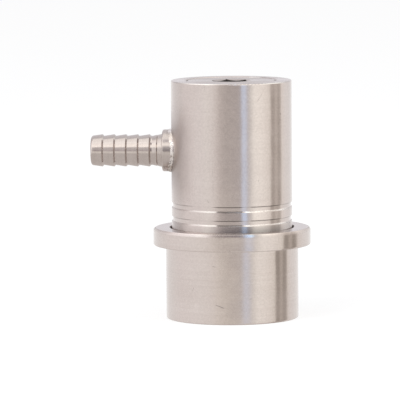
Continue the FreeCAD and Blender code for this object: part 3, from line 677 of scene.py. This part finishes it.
def nicks(tree, place, radius, marks):
    """Short straight scratches on a round wall.

    Each is given by its angle round from the front and its height, its length, its slant and its width,
    in degrees and millimetres.
    """
    angle, _, height = round_axis(tree, place)
    total = 0.0
    for degrees, up, length, slant, width in marks:
        aside = times_plus(tree, angle, radius, -radius * math.radians(degrees))
        over = maths(tree, "SUBTRACT", height, up * MM)
        cosine, sine = math.cos(math.radians(slant)), math.sin(math.radians(slant))
        lengthwise = times_plus(tree, aside, cosine, product(tree, over, sine))
        crosswise = times_plus(tree, over, cosine, product(tree, aside, -sine))
        end, side = (maths(tree, "ABSOLUTE", distance) for distance in (lengthwise, crosswise))
        mark = product(tree, ramp(tree, end, length / 2 * MM, length / 4 * MM),
                       ramp(tree, side, width * MM, width / 3 * MM))
        total = maths(tree, "MAXIMUM", total, mark)
    return total


print("mask helpers: ready")

# %% Heat round the weld
# The outer tint is straw and the inner one blue. Each is a colour, how much of it there is, and the distances
# from the barb's axis where it starts and is full. The scale dulls the barrel's side round the weld.
HEAT_TINTS = [
    ((0.52, 0.43, 0.34), 0.07, (8.2 * MM, 6.2 * MM)),
    ((0.36, 0.37, 0.40), 0.12, (6.7 * MM, 6.1 * MM)),
]
TINTED_SIDE = (-11 * MM, -12.6 * MM)
TINT_PATCHES = 500.0
TINT_WANDER = 1.2 * MM
SCALED_SIDE = (-7 * MM, -10 * MM, 0.0, 0.5)
SCALED_REACH = (14 * MM, 4.5 * MM)


def weld_heat(tree, place, colour):
    """Rings of heat tint round the weld, and how dull the scale about it is."""
    across, along, height = parts_of(tree, place)
    lifted = maths(tree, "SUBTRACT", height, BARB_AXIS_HEIGHT)
    uneven = noise(tree, place, TINT_PATCHES)
    distance = times_plus(tree, uneven, TINT_WANDER, distance_of(tree, along, lifted))
    on_side = ramp(tree, across, *TINTED_SIDE)
    for tint, amount, reach in HEAT_TINTS:
        ring = product(tree, on_side, ramp(tree, distance, *reach), amount)
        colour = blend(tree, ring, colour, tint)
    scaled = product(tree, ramp(tree, across, *SCALED_SIDE),
                     ramp(tree, maths(tree, "ABSOLUTE", lifted), *SCALED_REACH))
    return colour, scaled


print("heat tints:", len(HEAT_TINTS))

# %% Painted shade and highlights at the grooves
GROOVE_BOTTOMS = (22.8 * MM, 25.97 * MM)
GROOVE_WIDTH = 1.14 * MM
LIP_DROP = 0.06 * MM
LIP_HALF = 0.22 * MM
BODY_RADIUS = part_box("main_body")[1].x
# The first colour is painted shade in the grooves and a painted dark reflection on the front of their lower
# lips. The second is a painted highlight on the lips.
PAINTED_GROOVE_SHADE = (0.15, 0.13, 0.12)
PAINTED_LIP_HIGHLIGHT = (1.0, 0.97, 0.94)
# How strong the painted shade in the grooves and the painted highlight on their lips are round the compass.
GROOVE_SHADE_PATCHES = patches_round(
    (-180, 0.5), (-140, 0.9), (-90, 0.4), (-45, 0.5), (-35, 0.05), (-16, 0.05), (-10, 0.85), (12, 0.85),
    (15, 0.2), (21, 0.2), (24, 0.9), (50, 0.8), (62, 0.3), (100, 0.8), (150, 0.4), (180, 0.5),
)
LIP_HIGHLIGHT_PATCHES = patches_round(
    (-180, 0.3), (-60, 0.0), (-44, 0.0), (-34, 0.55), (-22, 0.7), (-13, 0.85), (-9, 0.1), (15, 0.0),
    (18, 0.95), (20.5, 0.95), (23, 0.3), (30, 0.5), (45, 0.6), (58, 0.7), (75, 0.2), (180, 0.3),
)


def groove_shade_and_highlights(tree, place, colour):
    """Painted shade under the upper edge of each groove, and a lower lip with a painted highlight in
    places and a painted dark reflection at the front.

    The painted shade lies in patches round the compass.
    """
    angle, radius, height = round_axis(tree, place)
    sunk = ramp(tree, radius, BODY_RADIUS - 0.1 * MM, BODY_RADIUS - 0.2 * MM)
    uneven, painted_light = (compass_bands(tree, angle, bands) for bands in (GROOVE_SHADE_PATCHES, LIP_HIGHLIGHT_PATCHES))
    in_front = between(tree, angle, (-12, -9), (15, 13), 0.7)
    for bottom in GROOVE_BOTTOMS:
        top = bottom + GROOVE_WIDTH
        dirt_and_shade = product(tree, ramp(tree, height, top - 0.34 * MM, top - 0.14 * MM), sunk,
                       ramp(tree, height, top + 0.02 * MM, top), uneven)
        from_lip = maths(tree, "ABSOLUTE", maths(tree, "SUBTRACT", height, bottom - LIP_DROP))
        lip = ramp(tree, from_lip, LIP_HALF, LIP_HALF / 2)
        colour = blend(tree, product(tree, lip, painted_light), colour, PAINTED_LIP_HIGHLIGHT)
        dark = maths(tree, "MAXIMUM", dirt_and_shade, product(tree, lip, in_front))
        colour = blend(tree, dark, colour, PAINTED_GROOVE_SHADE)
    return colour


print("grooves:", len(GROOVE_BOTTOMS), "body radius:", round(BODY_RADIUS / MM, 3), "mm")

# %% Foot under the grooves
# The foot is painted with shade where the barrel meets the sleeve's flange, more on one side than on the
# other.
FLANGE_TOP = 21.15 * MM
# The colour of the painted shade on the foot.
FOOT_PAINTED_SHADE = (0.24, 0.225, 0.22)


def shaded_foot(tree, place, colour):
    """Painted shade on the foot, darker towards the flange, less so to the left and at the far right."""
    across, _, height = parts_of(tree, place)
    foot_top = GROOVE_BOTTOMS[0]
    painted_light = maths(tree, "ADD", ramp(tree, height, foot_top, foot_top - 0.4 * MM, 0.0, 0.4),
                   ramp(tree, height, foot_top, FLANGE_TOP, 0.0, 0.35))
    painted_light = product(tree, painted_light, ramp(tree, across, -10 * MM, 8 * MM, 0.2, 1.15),
                     ramp(tree, across, 11 * MM, 13.5 * MM, 1.0, 0.3))
    return blend(tree, painted_light, colour, FOOT_PAINTED_SHADE)


print("foot:", round((GROOVE_BOTTOMS[0] - FLANGE_TOP) / MM, 2), "mm tall")

# %% Top of the barrel
BODY_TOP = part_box("main_body")[1].z
PLUG_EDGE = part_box("top_cap")[1].x + 0.25 * MM
# Colours of the painted highlight on the rim and of the painted glint behind the plug, then how strong the
# rim's highlight is round the compass.
RIM_PAINTED_HIGHLIGHT = (0.98, 0.95, 0.91)
PAINTED_GLINT = (1.0, 0.98, 0.95)
RIM_HIGHLIGHT_PATCHES = patches_round(
    (-180, 0.3), (-120, 0.8), (-60, 0.1), (-46, 0.9), (-20, 0.9), (-8, 0.2), (30, 0.2), (38, 0.9),
    (55, 0.9), (70, 0.2), (130, 0.7), (180, 0.3),
)


def top_painted_highlights(tree, place, colour):
    """Painted highlights on the rim in places, and a painted glint on the edge beside the plug, at the back.
    """
    angle, radius, height = round_axis(tree, place)
    rim = product(tree, ramp(tree, height, BODY_TOP - 0.3 * MM, BODY_TOP - 0.2 * MM),
                  ramp(tree, radius, BODY_RADIUS - 0.32 * MM, BODY_RADIUS - 0.22 * MM),
                  compass_bands(tree, angle, RIM_HIGHLIGHT_PATCHES))
    colour = blend(tree, rim, colour, RIM_PAINTED_HIGHLIGHT)
    beside_plug = maths(tree, "ABSOLUTE", maths(tree, "SUBTRACT", radius, PLUG_EDGE))
    glint = product(tree, ramp(tree, beside_plug, 0.5 * MM, 0.3 * MM),
                  ramp(tree, height, BODY_TOP - 1.2 * MM, BODY_TOP - 1.0 * MM),
                  between(tree, angle, (141, 147), (163, 157)))
    return blend(tree, glint, colour, PAINTED_GLINT)


print("body top:", round(BODY_TOP / MM, 2), "mm")

# %% The barrel's stains, painted light and slopes
BARREL_NICKS = [
    (58, 48.0, 0.7, -8, 0.16), (57, 46.7, 0.5, 12, 0.12), (-19, 28.3, 1.0, -50, 0.07),
    (30, 33.0, 0.6, 80, 0.07),
]
BARREL_NICK_COLOUR = (0.22, 0.20, 0.19)
BARREL_NICK_SHADE = 0.55
WORN_EDGE = 0.34 * MM
# From which height to which height the wall leans back, and by how many degrees.
BARREL_SLOPES = [
    (FLANGE_TOP - 0.5 * MM, GROOVE_BOTTOMS[0], -8),
    (GROOVE_BOTTOMS[0] - WORN_EDGE, GROOVE_BOTTOMS[0], -3),
    (GROOVE_BOTTOMS[0] + GROOVE_WIDTH, GROOVE_BOTTOMS[1] - WORN_EDGE, -2),
    (GROOVE_BOTTOMS[1] - WORN_EDGE, GROOVE_BOTTOMS[1], -4),
]


def barrel_marks_and_light(tree, place, colour):
    """Heat tint, painted shade and highlights and nicks, one over the other, and how dull the weld's scale
    is.
    """
    colour, scaled = weld_heat(tree, place, colour)
    for marks in (groove_shade_and_highlights, shaded_foot, top_painted_highlights):
        colour = marks(tree, place, colour)
    seen = product(tree, nicks(tree, place, BODY_RADIUS, BARREL_NICKS), BARREL_NICK_SHADE)
    return blend(tree, seen, colour, BARREL_NICK_COLOUR), scaled


def barrel_lean(tree, place):
    """The rings under the grooves lean back a little, and the worn edge at the top of each leans back more.

    The field of height rises evenly from one height to another, and is flat beyond both.
    """
    _, _, height = parts_of(tree, place)
    total = 0.0
    for low, high, degrees in BARREL_SLOPES:
        rise = math.tan(math.radians(degrees)) * (high - low)
        slope = ramp(tree, height, low, high, 0.0, rise, "LINEAR")
        total = maths(tree, "ADD", total, slope)
    return total


print("barrel: nicks", len(BARREL_NICKS), "and slopes", len(BARREL_SLOPES))

# %% The sleeve's painted highlight and nicks
SLEEVE_RADIUS = 15.4 * MM
SLEEVE_NICKS = [
    (-7, 4.3, 2.6, -20, 0.14), (-32, 8.0, 1.6, 62, 0.08), (-12, 13.5, 0.9, -15, 0.1),
    (20, 6.0, 0.7, 10, 0.08),
]
SLEEVE_NICK_COLOUR = (0.25, 0.22, 0.21)
SLEEVE_NICK_SHADE = 0.4
FLANGE_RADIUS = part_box("locking_collar")[1].x
# How many times the painted highlight brightens the flange's edge round the compass, in red, green and blue.
FLANGE_PAINTED_HIGHLIGHT = [
    (-180, (1.1, 1.1, 1.1)), (-120, (1.25, 1.25, 1.25)), (-75, (1.0, 1.0, 1.0)), (-45, (1.3, 1.32, 1.34)),
    (-20, (1.38, 1.42, 1.46)), (-15, (1.3, 1.32, 1.34)), (-10, (1.0, 1.0, 1.0)), (11, (1.0, 1.0, 1.0)),
    (15, (1.18, 1.3, 1.4)), (18.5, (1.38, 1.55, 1.6)), (21.5, (1.0, 1.0, 1.0)), (60, (1.0, 1.0, 1.0)),
    (120, (1.25, 1.25, 1.25)), (180, (1.1, 1.1, 1.1)),
]


def sleeve_highlight_and_nicks(tree, place, colour):
    """A painted highlight on the flange's round edge in places, and a few nicks from tools."""
    angle, radius, height = round_axis(tree, place)
    outermost = ramp(tree, radius, FLANGE_RADIUS - 1.1 * MM, FLANGE_RADIUS - 0.8 * MM)
    edge = product(tree, ramp(tree, height, FLANGE_TOP - 0.75 * MM, FLANGE_TOP - 0.5 * MM), outermost)
    highlight = compass_bands(tree, angle, FLANGE_PAINTED_HIGHLIGHT)
    colour = blend(tree, 1.0, colour, blend(tree, edge, (1, 1, 1), highlight), "MULTIPLY")
    seen = product(tree, nicks(tree, place, SLEEVE_RADIUS, SLEEVE_NICKS), SLEEVE_NICK_SHADE)
    return blend(tree, seen, colour, SLEEVE_NICK_COLOUR), seen


print("sleeve: nicks", len(SLEEVE_NICKS), "flange radius", round(FLANGE_RADIUS / MM, 2), "mm")

# %% Painted shade in the plug's socket
CAP_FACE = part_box("top_cap")[1].z
CAP_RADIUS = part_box("top_cap")[1].x
# The colour of the painted shade in the socket and in the gap round the plug.
PAINTED_SOCKET_SHADE = (0.05, 0.042, 0.038)


def socket_painted_shade(tree, place, colour):
    """Painted shade on the walls and the floor of the hexagon, and in two places in the gap at the plug's
    rim.
    """
    across, along, height = parts_of(tree, place)
    radius = distance_of(tree, across, along)
    _, _, upward = parts_of(tree, add_node(tree, "ShaderNodeNewGeometry").outputs["Normal"])
    upright = ramp(tree, maths(tree, "ABSOLUTE", upward), 0.7, 0.4)
    below = ramp(tree, height, CAP_FACE - 0.5 * MM, CAP_FACE - 0.7 * MM)
    inside = ramp(tree, radius, 4.74 * MM, 4.68 * MM)
    painted_shade = product(tree, inside, maths(tree, "MAXIMUM", upright, below))
    rim = ramp(tree, radius, CAP_RADIUS - 0.62 * MM, CAP_RADIUS - 0.5 * MM)
    left = ramp(tree, across, -CAP_RADIUS + 0.5 * MM, -CAP_RADIUS + 0.4 * MM)
    right = ramp(tree, across, CAP_RADIUS - 0.6 * MM, CAP_RADIUS - 0.4 * MM, 0.0, 0.5)
    painted_shade = maths(tree, "MAXIMUM", painted_shade, product(tree, rim, maths(tree, "ADD", left, right)))
    return blend(tree, product(tree, painted_shade, 0.93), colour, PAINTED_SOCKET_SHADE), painted_shade


print("plug radius:", round(CAP_RADIUS / MM, 3), "mm")

# %% Darkening beside the weld
WELD_EDGE = 14.4 * MM
DARKENING_PATCHES = 900.0
DARKENING_WANDER = 1.6 * MM
COLLAR_END_BROWN = (0.20, 0.16, 0.13)


def weld_collar_darkening(tree, place, colour):
    """Brown darkening on the end of the barb's collar, strong under it and faint above it, on a duller skin.
    """
    across, _, height = parts_of(tree, place)
    lifted = maths(tree, "SUBTRACT", height, BARB_AXIS_HEIGHT)
    uneven = times_plus(tree, noise(tree, place, DARKENING_PATCHES), DARKENING_WANDER, across)
    near = ramp(tree, uneven, -WELD_EDGE + 0.1 * MM, -WELD_EDGE + 1.2 * MM)
    under = ramp(tree, lifted, -1.6 * MM, -3.6 * MM, 0.0, 0.85)
    above = ramp(tree, lifted, 3.4 * MM, 4.4 * MM, 0.0, 0.4)
    darkening = product(tree, near, maths(tree, "ADD", under, above))
    scaled = ramp(tree, across, -17.2 * MM, -16.8 * MM, 0.0, 0.24)
    return blend(tree, darkening, colour, COLLAR_END_BROWN), maths(tree, "MAXIMUM", darkening, scaled)


print("weld edge:", round(WELD_EDGE / MM, 1), "mm off the axis")

# %% The metals
# For each: its light and its dark shade, its roughness, the depth of its rings and what else it has.
METAL_LOOKS = {
    "body_steel": ((0.655, 0.595, 0.568), (0.635, 0.573, 0.546), 0.19, 0.002 * MM,
                   {"grain": 0.86, "stain": barrel_marks_and_light, "lean": barrel_lean, "filed": True}),
    "collar_steel": ((0.65, 0.59, 0.56), (0.615, 0.55, 0.52), 0.15, 0.002 * MM,
                     {"grain": 0.5, "stain": sleeve_highlight_and_nicks, "filed": True}),
    "cap_steel": ((0.62, 0.57, 0.54), (0.57, 0.51, 0.48), 0.24, 0.005 * MM, {"stain": socket_painted_shade}),
    "barb_steel": ((0.64, 0.585, 0.555), (0.59, 0.535, 0.505), 0.15, 0.003 * MM,
                   {"grain": 0.55, "turning": ALONG_BARB, "stain": weld_collar_darkening}),
    "seat_ring_steel": ((0.6, 0.56, 0.54), (0.5, 0.46, 0.44), 0.3, 0.005 * MM, {}),
    "poppet_steel": ((0.62, 0.58, 0.55), (0.54, 0.5, 0.47), 0.24, 0.004 * MM, {}),
}
METALS = {name: turned_steel(name, *look, **extras) for name, (*look, extras) in METAL_LOOKS.items()}
print("turned metals:", ", ".join(METALS))

# %% [markdown]
# ## Wire, balls and rubber
# The springs and the snap ring are drawn wire with draw lines and a darker skin. The balls are ground and
# polished, so their grain is far finer and they are nearly mirrors. The O-rings are black rubber with a
# fine moulded grain and a little grey bloom. None of these has an axis of turning, so they are plain
# shaders whose colour, roughness and height come from noise.

# %% The other finishes
# How many grains wide a patch of the colour is.
PATCH_SIZE = 9


def plain_finish(name, light, dark, scale, roughness, change, depth, metallic=1.0, stretch=(1, 1, 1)):
    """A finish without rings: one noise field drives colour, roughness and height."""
    material, tree, shader, place = new_material(name)
    stretched = wire(tree, add_node(tree, "ShaderNodeMapping"), Vector=place, Scale=stretch)[0]
    field = noise(tree, stretched, scale, 4.0, 0.6)
    patches = ramp(tree, noise(tree, place, scale / PATCH_SIZE, 2.0), 0.35, 0.65)
    dull = times_plus(tree, field, change, roughness)
    normal = add_bump(tree, field, depth, 0.6).outputs["Normal"]
    wire(tree, shader, blend(tree, patches, dark, light), metallic, dull, Normal=normal)
    return material


# For each: its light and its dark shade, the scale of its grain, its roughness, how much the grain changes
# that, the depth of the grain and what else it has.
OTHER_LOOKS = {
    "ball_steel": ((0.72, 0.71, 0.70), (0.66, 0.65, 0.64), 2500.0, 0.06, 0.05, 0.0005 * MM, {}),
    "spring_steel": ((0.55, 0.53, 0.50), (0.42, 0.40, 0.38), 3200.0, 0.24, 0.2, 0.006 * MM,
                     {"stretch": (0.25, 0.25, 1)}),
    "seal_rubber": ((0.022, 0.022, 0.024), (0.012, 0.012, 0.013), 4500.0, 0.42, 0.25, 0.008 * MM,
                    {"metallic": 0.0}),
}
OTHERS = {name: plain_finish(name, *look, **extras) for name, (*look, extras) in OTHER_LOOKS.items()}
FINISHES = {**METALS, **OTHERS}
for cad_object in NODES.values():
    for material_slot in cad_object.material_slots:
        packed_name = material_slot.material.name.split(".")[0]
        if packed_name in FINISHES:
            material_slot.material = FINISHES[packed_name]
print("finishes:", len(FINISHES))

# %% [markdown]
# ## The weld bead
# Where the barb's collar meets the barrel, a bead of melted filler runs once round the corner. Each puddle
# froze over the last one, so the bead is a row of overlapping scales, uneven where the hand slowed.
# A plain chamfer has the right size but none of that, so a new surface takes its place. It is a section
# carried round the curve in which two cylinders meet, and the section swells and sinks with each scale.

# %% Bead sizes
COLLAR_RADIUS = 4.875 * MM
ALONG_COLLAR = 0.85 * MM
ALONG_BARREL = 0.2 * MM
BEAD_SINK = 0.06 * MM
CLOSED_INSIDE = 0.05 * MM
SCALES = 25
STEPS_PER_SCALE = 42
ACROSS = 18
# The hand ran faster and slower: by how many scales, how often on the way round, and from where.
DRIFT = [(0.45, 3, 0.6), (0.3, 8, 2.2), (0.14, 19, 0.0)]
# A scale's ends bend back by this part of a scale, and the second row starts where the first one ends.
BEND = 0.22
SECOND_ROW = 0.45
print("scales:", SCALES, "round a collar of", round(COLLAR_RADIUS / MM, 3), "mm radius")

# %% Bead's path and humps
def bead_path(turn):
    """The corner where the collar's cylinder meets the barrel's, and three directions there.

    At a turn round the barb's axis the corner lies COLLAR_RADIUS from that axis, at the depth that
    Pythagoras gives on the barrel. The directions are out from the barb's axis, out from the barrel's wall,
    and along that wall away from the barb.
    """
    outward = np.stack([np.zeros_like(turn), np.cos(turn), np.sin(turn)], 1)
    side = COLLAR_RADIUS * np.cos(turn)
    depth = np.sqrt(BODY_RADIUS**2 - side**2)
    corner = np.stack([-depth, side, COLLAR_RADIUS * np.sin(turn)], 1)
    barrel_normal = np.stack([-depth, side, np.zeros_like(turn)], 1) / BODY_RADIUS
    along_barrel = outward - np.sum(outward * barrel_normal, 1, keepdims=True) * barrel_normal
    along_barrel /= np.linalg.norm(along_barrel, axis=1, keepdims=True)
    return corner, outward, barrel_normal, along_barrel


def bead_humps(turn, across, seed=7):
    """How far the bead swells at each point, and how deep the point lies between the humps.

    The swell is a row of round humps, one for each scale, which differ in size, lean and spacing, with two
    rows of smaller ones on it, set half a step apart. It is smoother where the hand ran fast, at the top.
    """
    dice = np.random.default_rng(seed)
    drift = sum(size * np.sin(times * turn + start) for size, times, start in DRIFT)
    bend = BEND * np.cos(np.pi * (across - 0.5)) ** 2
    phase = (turn / (2 * np.pi) * SCALES + drift)[:, None] + bend[None, :]
    index = np.floor(phase).astype(int) % SCALES
    within = phase - np.floor(phase)
    size = 1 + 0.3 * dice.standard_normal(SCALES).clip(-1.5, 1.4)
    lean = 0.16 * dice.standard_normal(SCALES).clip(-1.5, 1.5)
    row = np.abs(np.sin(np.pi * (phase + 0.5 * (across > SECOND_ROW)[None, :]))) ** 0.8
    small = row * np.abs(np.sin(2.1 * np.pi * across + 0.2)) ** 0.7
    hump = 0.45 * np.sin(np.pi * within**0.8) ** 0.6 + 0.55 * small
    roughness = 0.45 + 0.55 * np.clip(0.4 - np.sin(turn), 0, 1)[:, None]
    humps = (0.42 * hump * size[index] + lean[index] * (across - 0.5)) * roughness
    swell = 0.70 + humps + 0.2 * (1 - roughness) + 0.05 * np.sin(5 * turn + 1.1)[:, None]
    return swell, (1 - hump) * roughness


# %% Bead surface
def bead_points():
    """Points of the bead on a grid, round the joint and then across the section, and how deep each lies.

    From the corner the section is a quarter of an ellipse, between the barb's direction and the direction
    out along the barrel:
    corner + swell * (ALONG_COLLAR * cos(a) * along_barb + ALONG_BARREL * sin(a) * along_barrel).
    One more point closes the section inside.
    """
    turn = np.linspace(0, 2 * np.pi, SCALES * STEPS_PER_SCALE, endpoint=False)
    across = np.linspace(0, 1, ACROSS)
    corner, outward, barrel_normal, along_barrel = bead_path(turn)
    swell, valley = bead_humps(turn, across)
    corner = corner - BEAD_SINK * (barrel_normal + outward)
    along_barb = np.array([-1.0, 0, 0])
    angle = across * np.pi / 2
    section = (
        (ALONG_COLLAR + BEAD_SINK) * np.cos(angle)[None, :, None] * along_barb[None, None, :]
        + (ALONG_BARREL + BEAD_SINK) * np.sin(angle)[None, :, None] * along_barrel[:, None, :]
    )
    outside = corner[:, None, :] + swell[:, :, None] * section
    inside = corner[:, None, :] - CLOSED_INSIDE * (barrel_normal + outward)[:, None, :]
    points = np.concatenate([outside, inside], 1)
    points[:, :, 2] += BARB_AXIS_HEIGHT
    return points, np.concatenate([valley, np.ones((len(turn), 1))], 1)


def strip_faces(rows, columns, closed):
    """Four corners for each face of a grid of points that closes across its columns, and perhaps its rows."""
    row, column = np.meshgrid(np.arange(rows if closed else rows - 1), np.arange(columns), indexing="ij")
    next_row, next_column = (row + 1) % rows, (column + 1) % columns
    return np.stack([row * columns + column, next_row * columns + column,
                     next_row * columns + next_column, row * columns + next_column], -1).reshape(-1, 4)


def new_mesh(name, points, faces, smooth):
    """Make a mesh of points and faces, each of which is smooth or flat."""
    mesh = bpy.data.meshes.new(name)
    mesh.from_pydata(points.reshape(-1, 3).tolist(), [], faces)
    mesh.polygons.foreach_set("use_smooth", smooth)
    mesh.update()
    return mesh


def ring_mesh(name, points, valley):
    """Make a mesh from a grid of points that closes in both directions, with its faces turned outwards.

    How deep each point lies between the humps is kept beside it, for the painted shade in the valleys.
    """
    faces = strip_faces(*points.shape[:2], True)
    first, second, third, fourth = (points.reshape(-1, 3)[faces[:, corner]] for corner in range(4))
    volume = np.einsum("ij,ij->", first, np.cross(second, third) + np.cross(third, fourth))
    if volume < 0:
        faces = faces[:, ::-1]
    mesh = new_mesh(name, points, faces.tolist(), np.ones(len(faces), bool))
    depths = mesh.attributes.new("valley", "FLOAT", "POINT")
    depths.data.foreach_set("value", valley.reshape(-1).astype(np.float32))
    return mesh


def new_piece(name, mesh, material, body):
    """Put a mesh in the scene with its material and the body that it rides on."""
    mesh.materials.append(material)
    piece = bpy.data.objects.new(name, mesh)
    bpy.context.scene.collection.objects.link(piece)
    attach(piece, body)
    return piece


BEAD_MESH = ring_mesh("weld_bead", *bead_points())
print("bead points:", len(BEAD_MESH.vertices))

# %% Bead finish
BRIGHT_FILLER = (0.87, 0.83, 0.81)
STRAW_FILLER = (0.73, 0.67, 0.62)
# The colour of the painted shade in the valleys between the humps.
VALLEY_PAINTED_SHADE = (0.12, 0.10, 0.09)
FILLER_GRAIN = 0.012 * MM


def make_weld_finish():
    """Melted filler: bright on the humps, with straw and grey patches and painted shade in the valleys."""
    material, tree, shader, place = new_material("weld_steel")
    fine = noise(tree, place, 2600.0, 3.0, 0.6)
    patches = ramp(tree, noise(tree, place, 520.0, 2.0), 0.4, 0.62)
    colour = blend(tree, patches, BRIGHT_FILLER, STRAW_FILLER)
    valley = add_node(tree, "ShaderNodeAttribute", attribute_name="valley").outputs["Fac"]
    darkening = ramp(tree, times_plus(tree, fine, 0.5, valley), 0.45, 0.95)
    colour = blend(tree, product(tree, darkening, 0.85), colour, VALLEY_PAINTED_SHADE)
    dull = times_plus(tree, fine, 0.22, 0.14)
    wire(tree, shader, colour, 1.0, dull, Normal=add_bump(tree, fine, FILLER_GRAIN, 0.5).outputs["Normal"])
    return material


BEAD = new_piece("weld_bead", BEAD_MESH, make_weld_finish(), "housing")
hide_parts("barb_weld")
print("bead faces:", len(BEAD.data.polygons))

# %% [markdown]
# ## The springs
# A spring gets shorter as its joint moves, which a solid from the CAD can't do. Two new coils take the
# places of the imported ones, each built at the length of the one it replaces and riding on its joint's
# parent body. Their wire has rounded corners, and at both ends it lies flat and is ground off.

# %% Coil surface
# For each spring: the width and the height of its wire, and its turns.
WIRES = {"collar_spring": (1.4 * MM, 0.8 * MM, 4), "valve_spring": (0.7 * MM, 0.7 * MM, 5)}
STEPS_PER_TURN = 90
ROUND_WIRE = 20
CLOSED_TURNS = 0.8
CLOSED_PITCH = 1.03


def coil_points(low, high, outer, width, height, turns):
    """Points of a coil on a grid, along the wire and then round its section.

    The middle of the wire goes round the axis at an even rate. It rises by little more than its own height
    a turn near both ends, and evenly between them. The section is a rectangle with round corners: half its
    width and height times the square roots of the cosine and the sine, with their signs. What would lie
    beyond either end is ground off, so it is brought back to the end's plane.
    """
    turn = np.linspace(0, turns, turns * STEPS_PER_TURN + 1)
    closed = CLOSED_TURNS * CLOSED_PITCH * height
    middle = np.interp(turn, [0, CLOSED_TURNS, turns - CLOSED_TURNS, turns],
                       [low, low + closed, high - closed, high])
    around = 2 * np.pi * np.arange(ROUND_WIRE) / ROUND_WIRE
    aside, above = (np.sign(wave) * np.sqrt(np.abs(wave)) / 2 for wave in (np.cos(around), np.sin(around)))
    radius = outer - width / 2 + width * aside[None, :]
    upward = np.clip(middle[:, None] + height * above[None, :], low, high)
    angle = 2 * np.pi * turn[:, None]
    return np.stack([radius * np.cos(angle), radius * np.sin(angle), upward], -1)


def rod_mesh(name, points):
    """Make a mesh from a grid of points that closes round the section and has a flat face at each end."""
    rows, columns = points.shape[:2]
    sides = strip_faces(rows, columns, False).tolist()
    ends = [list(range(columns)), list(range((rows - 1) * columns, rows * columns))[::-1]]
    return new_mesh(name, points, sides + ends, [True] * len(sides) + [False] * len(ends))


print("wires:", ", ".join(WIRES))

# %% Coils
for joint in frame["record"]["behaviour"]["joints"]:
    for deforming in joint.get("deforming_nodes", []):
        spring = deforming["node"]
        (_, _, spring_low), (spring_outer, _, spring_high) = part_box(spring)
        points = coil_points(spring_low, spring_high, spring_outer, *WIRES[spring])
        coil = new_piece(spring + "_coil", rod_mesh(spring, points), FINISHES["spring_steel"],
                         joint["parent"])
        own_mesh(coil)
        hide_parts(spring)
        print(coil.name, "faces:", len(coil.data.polygons))
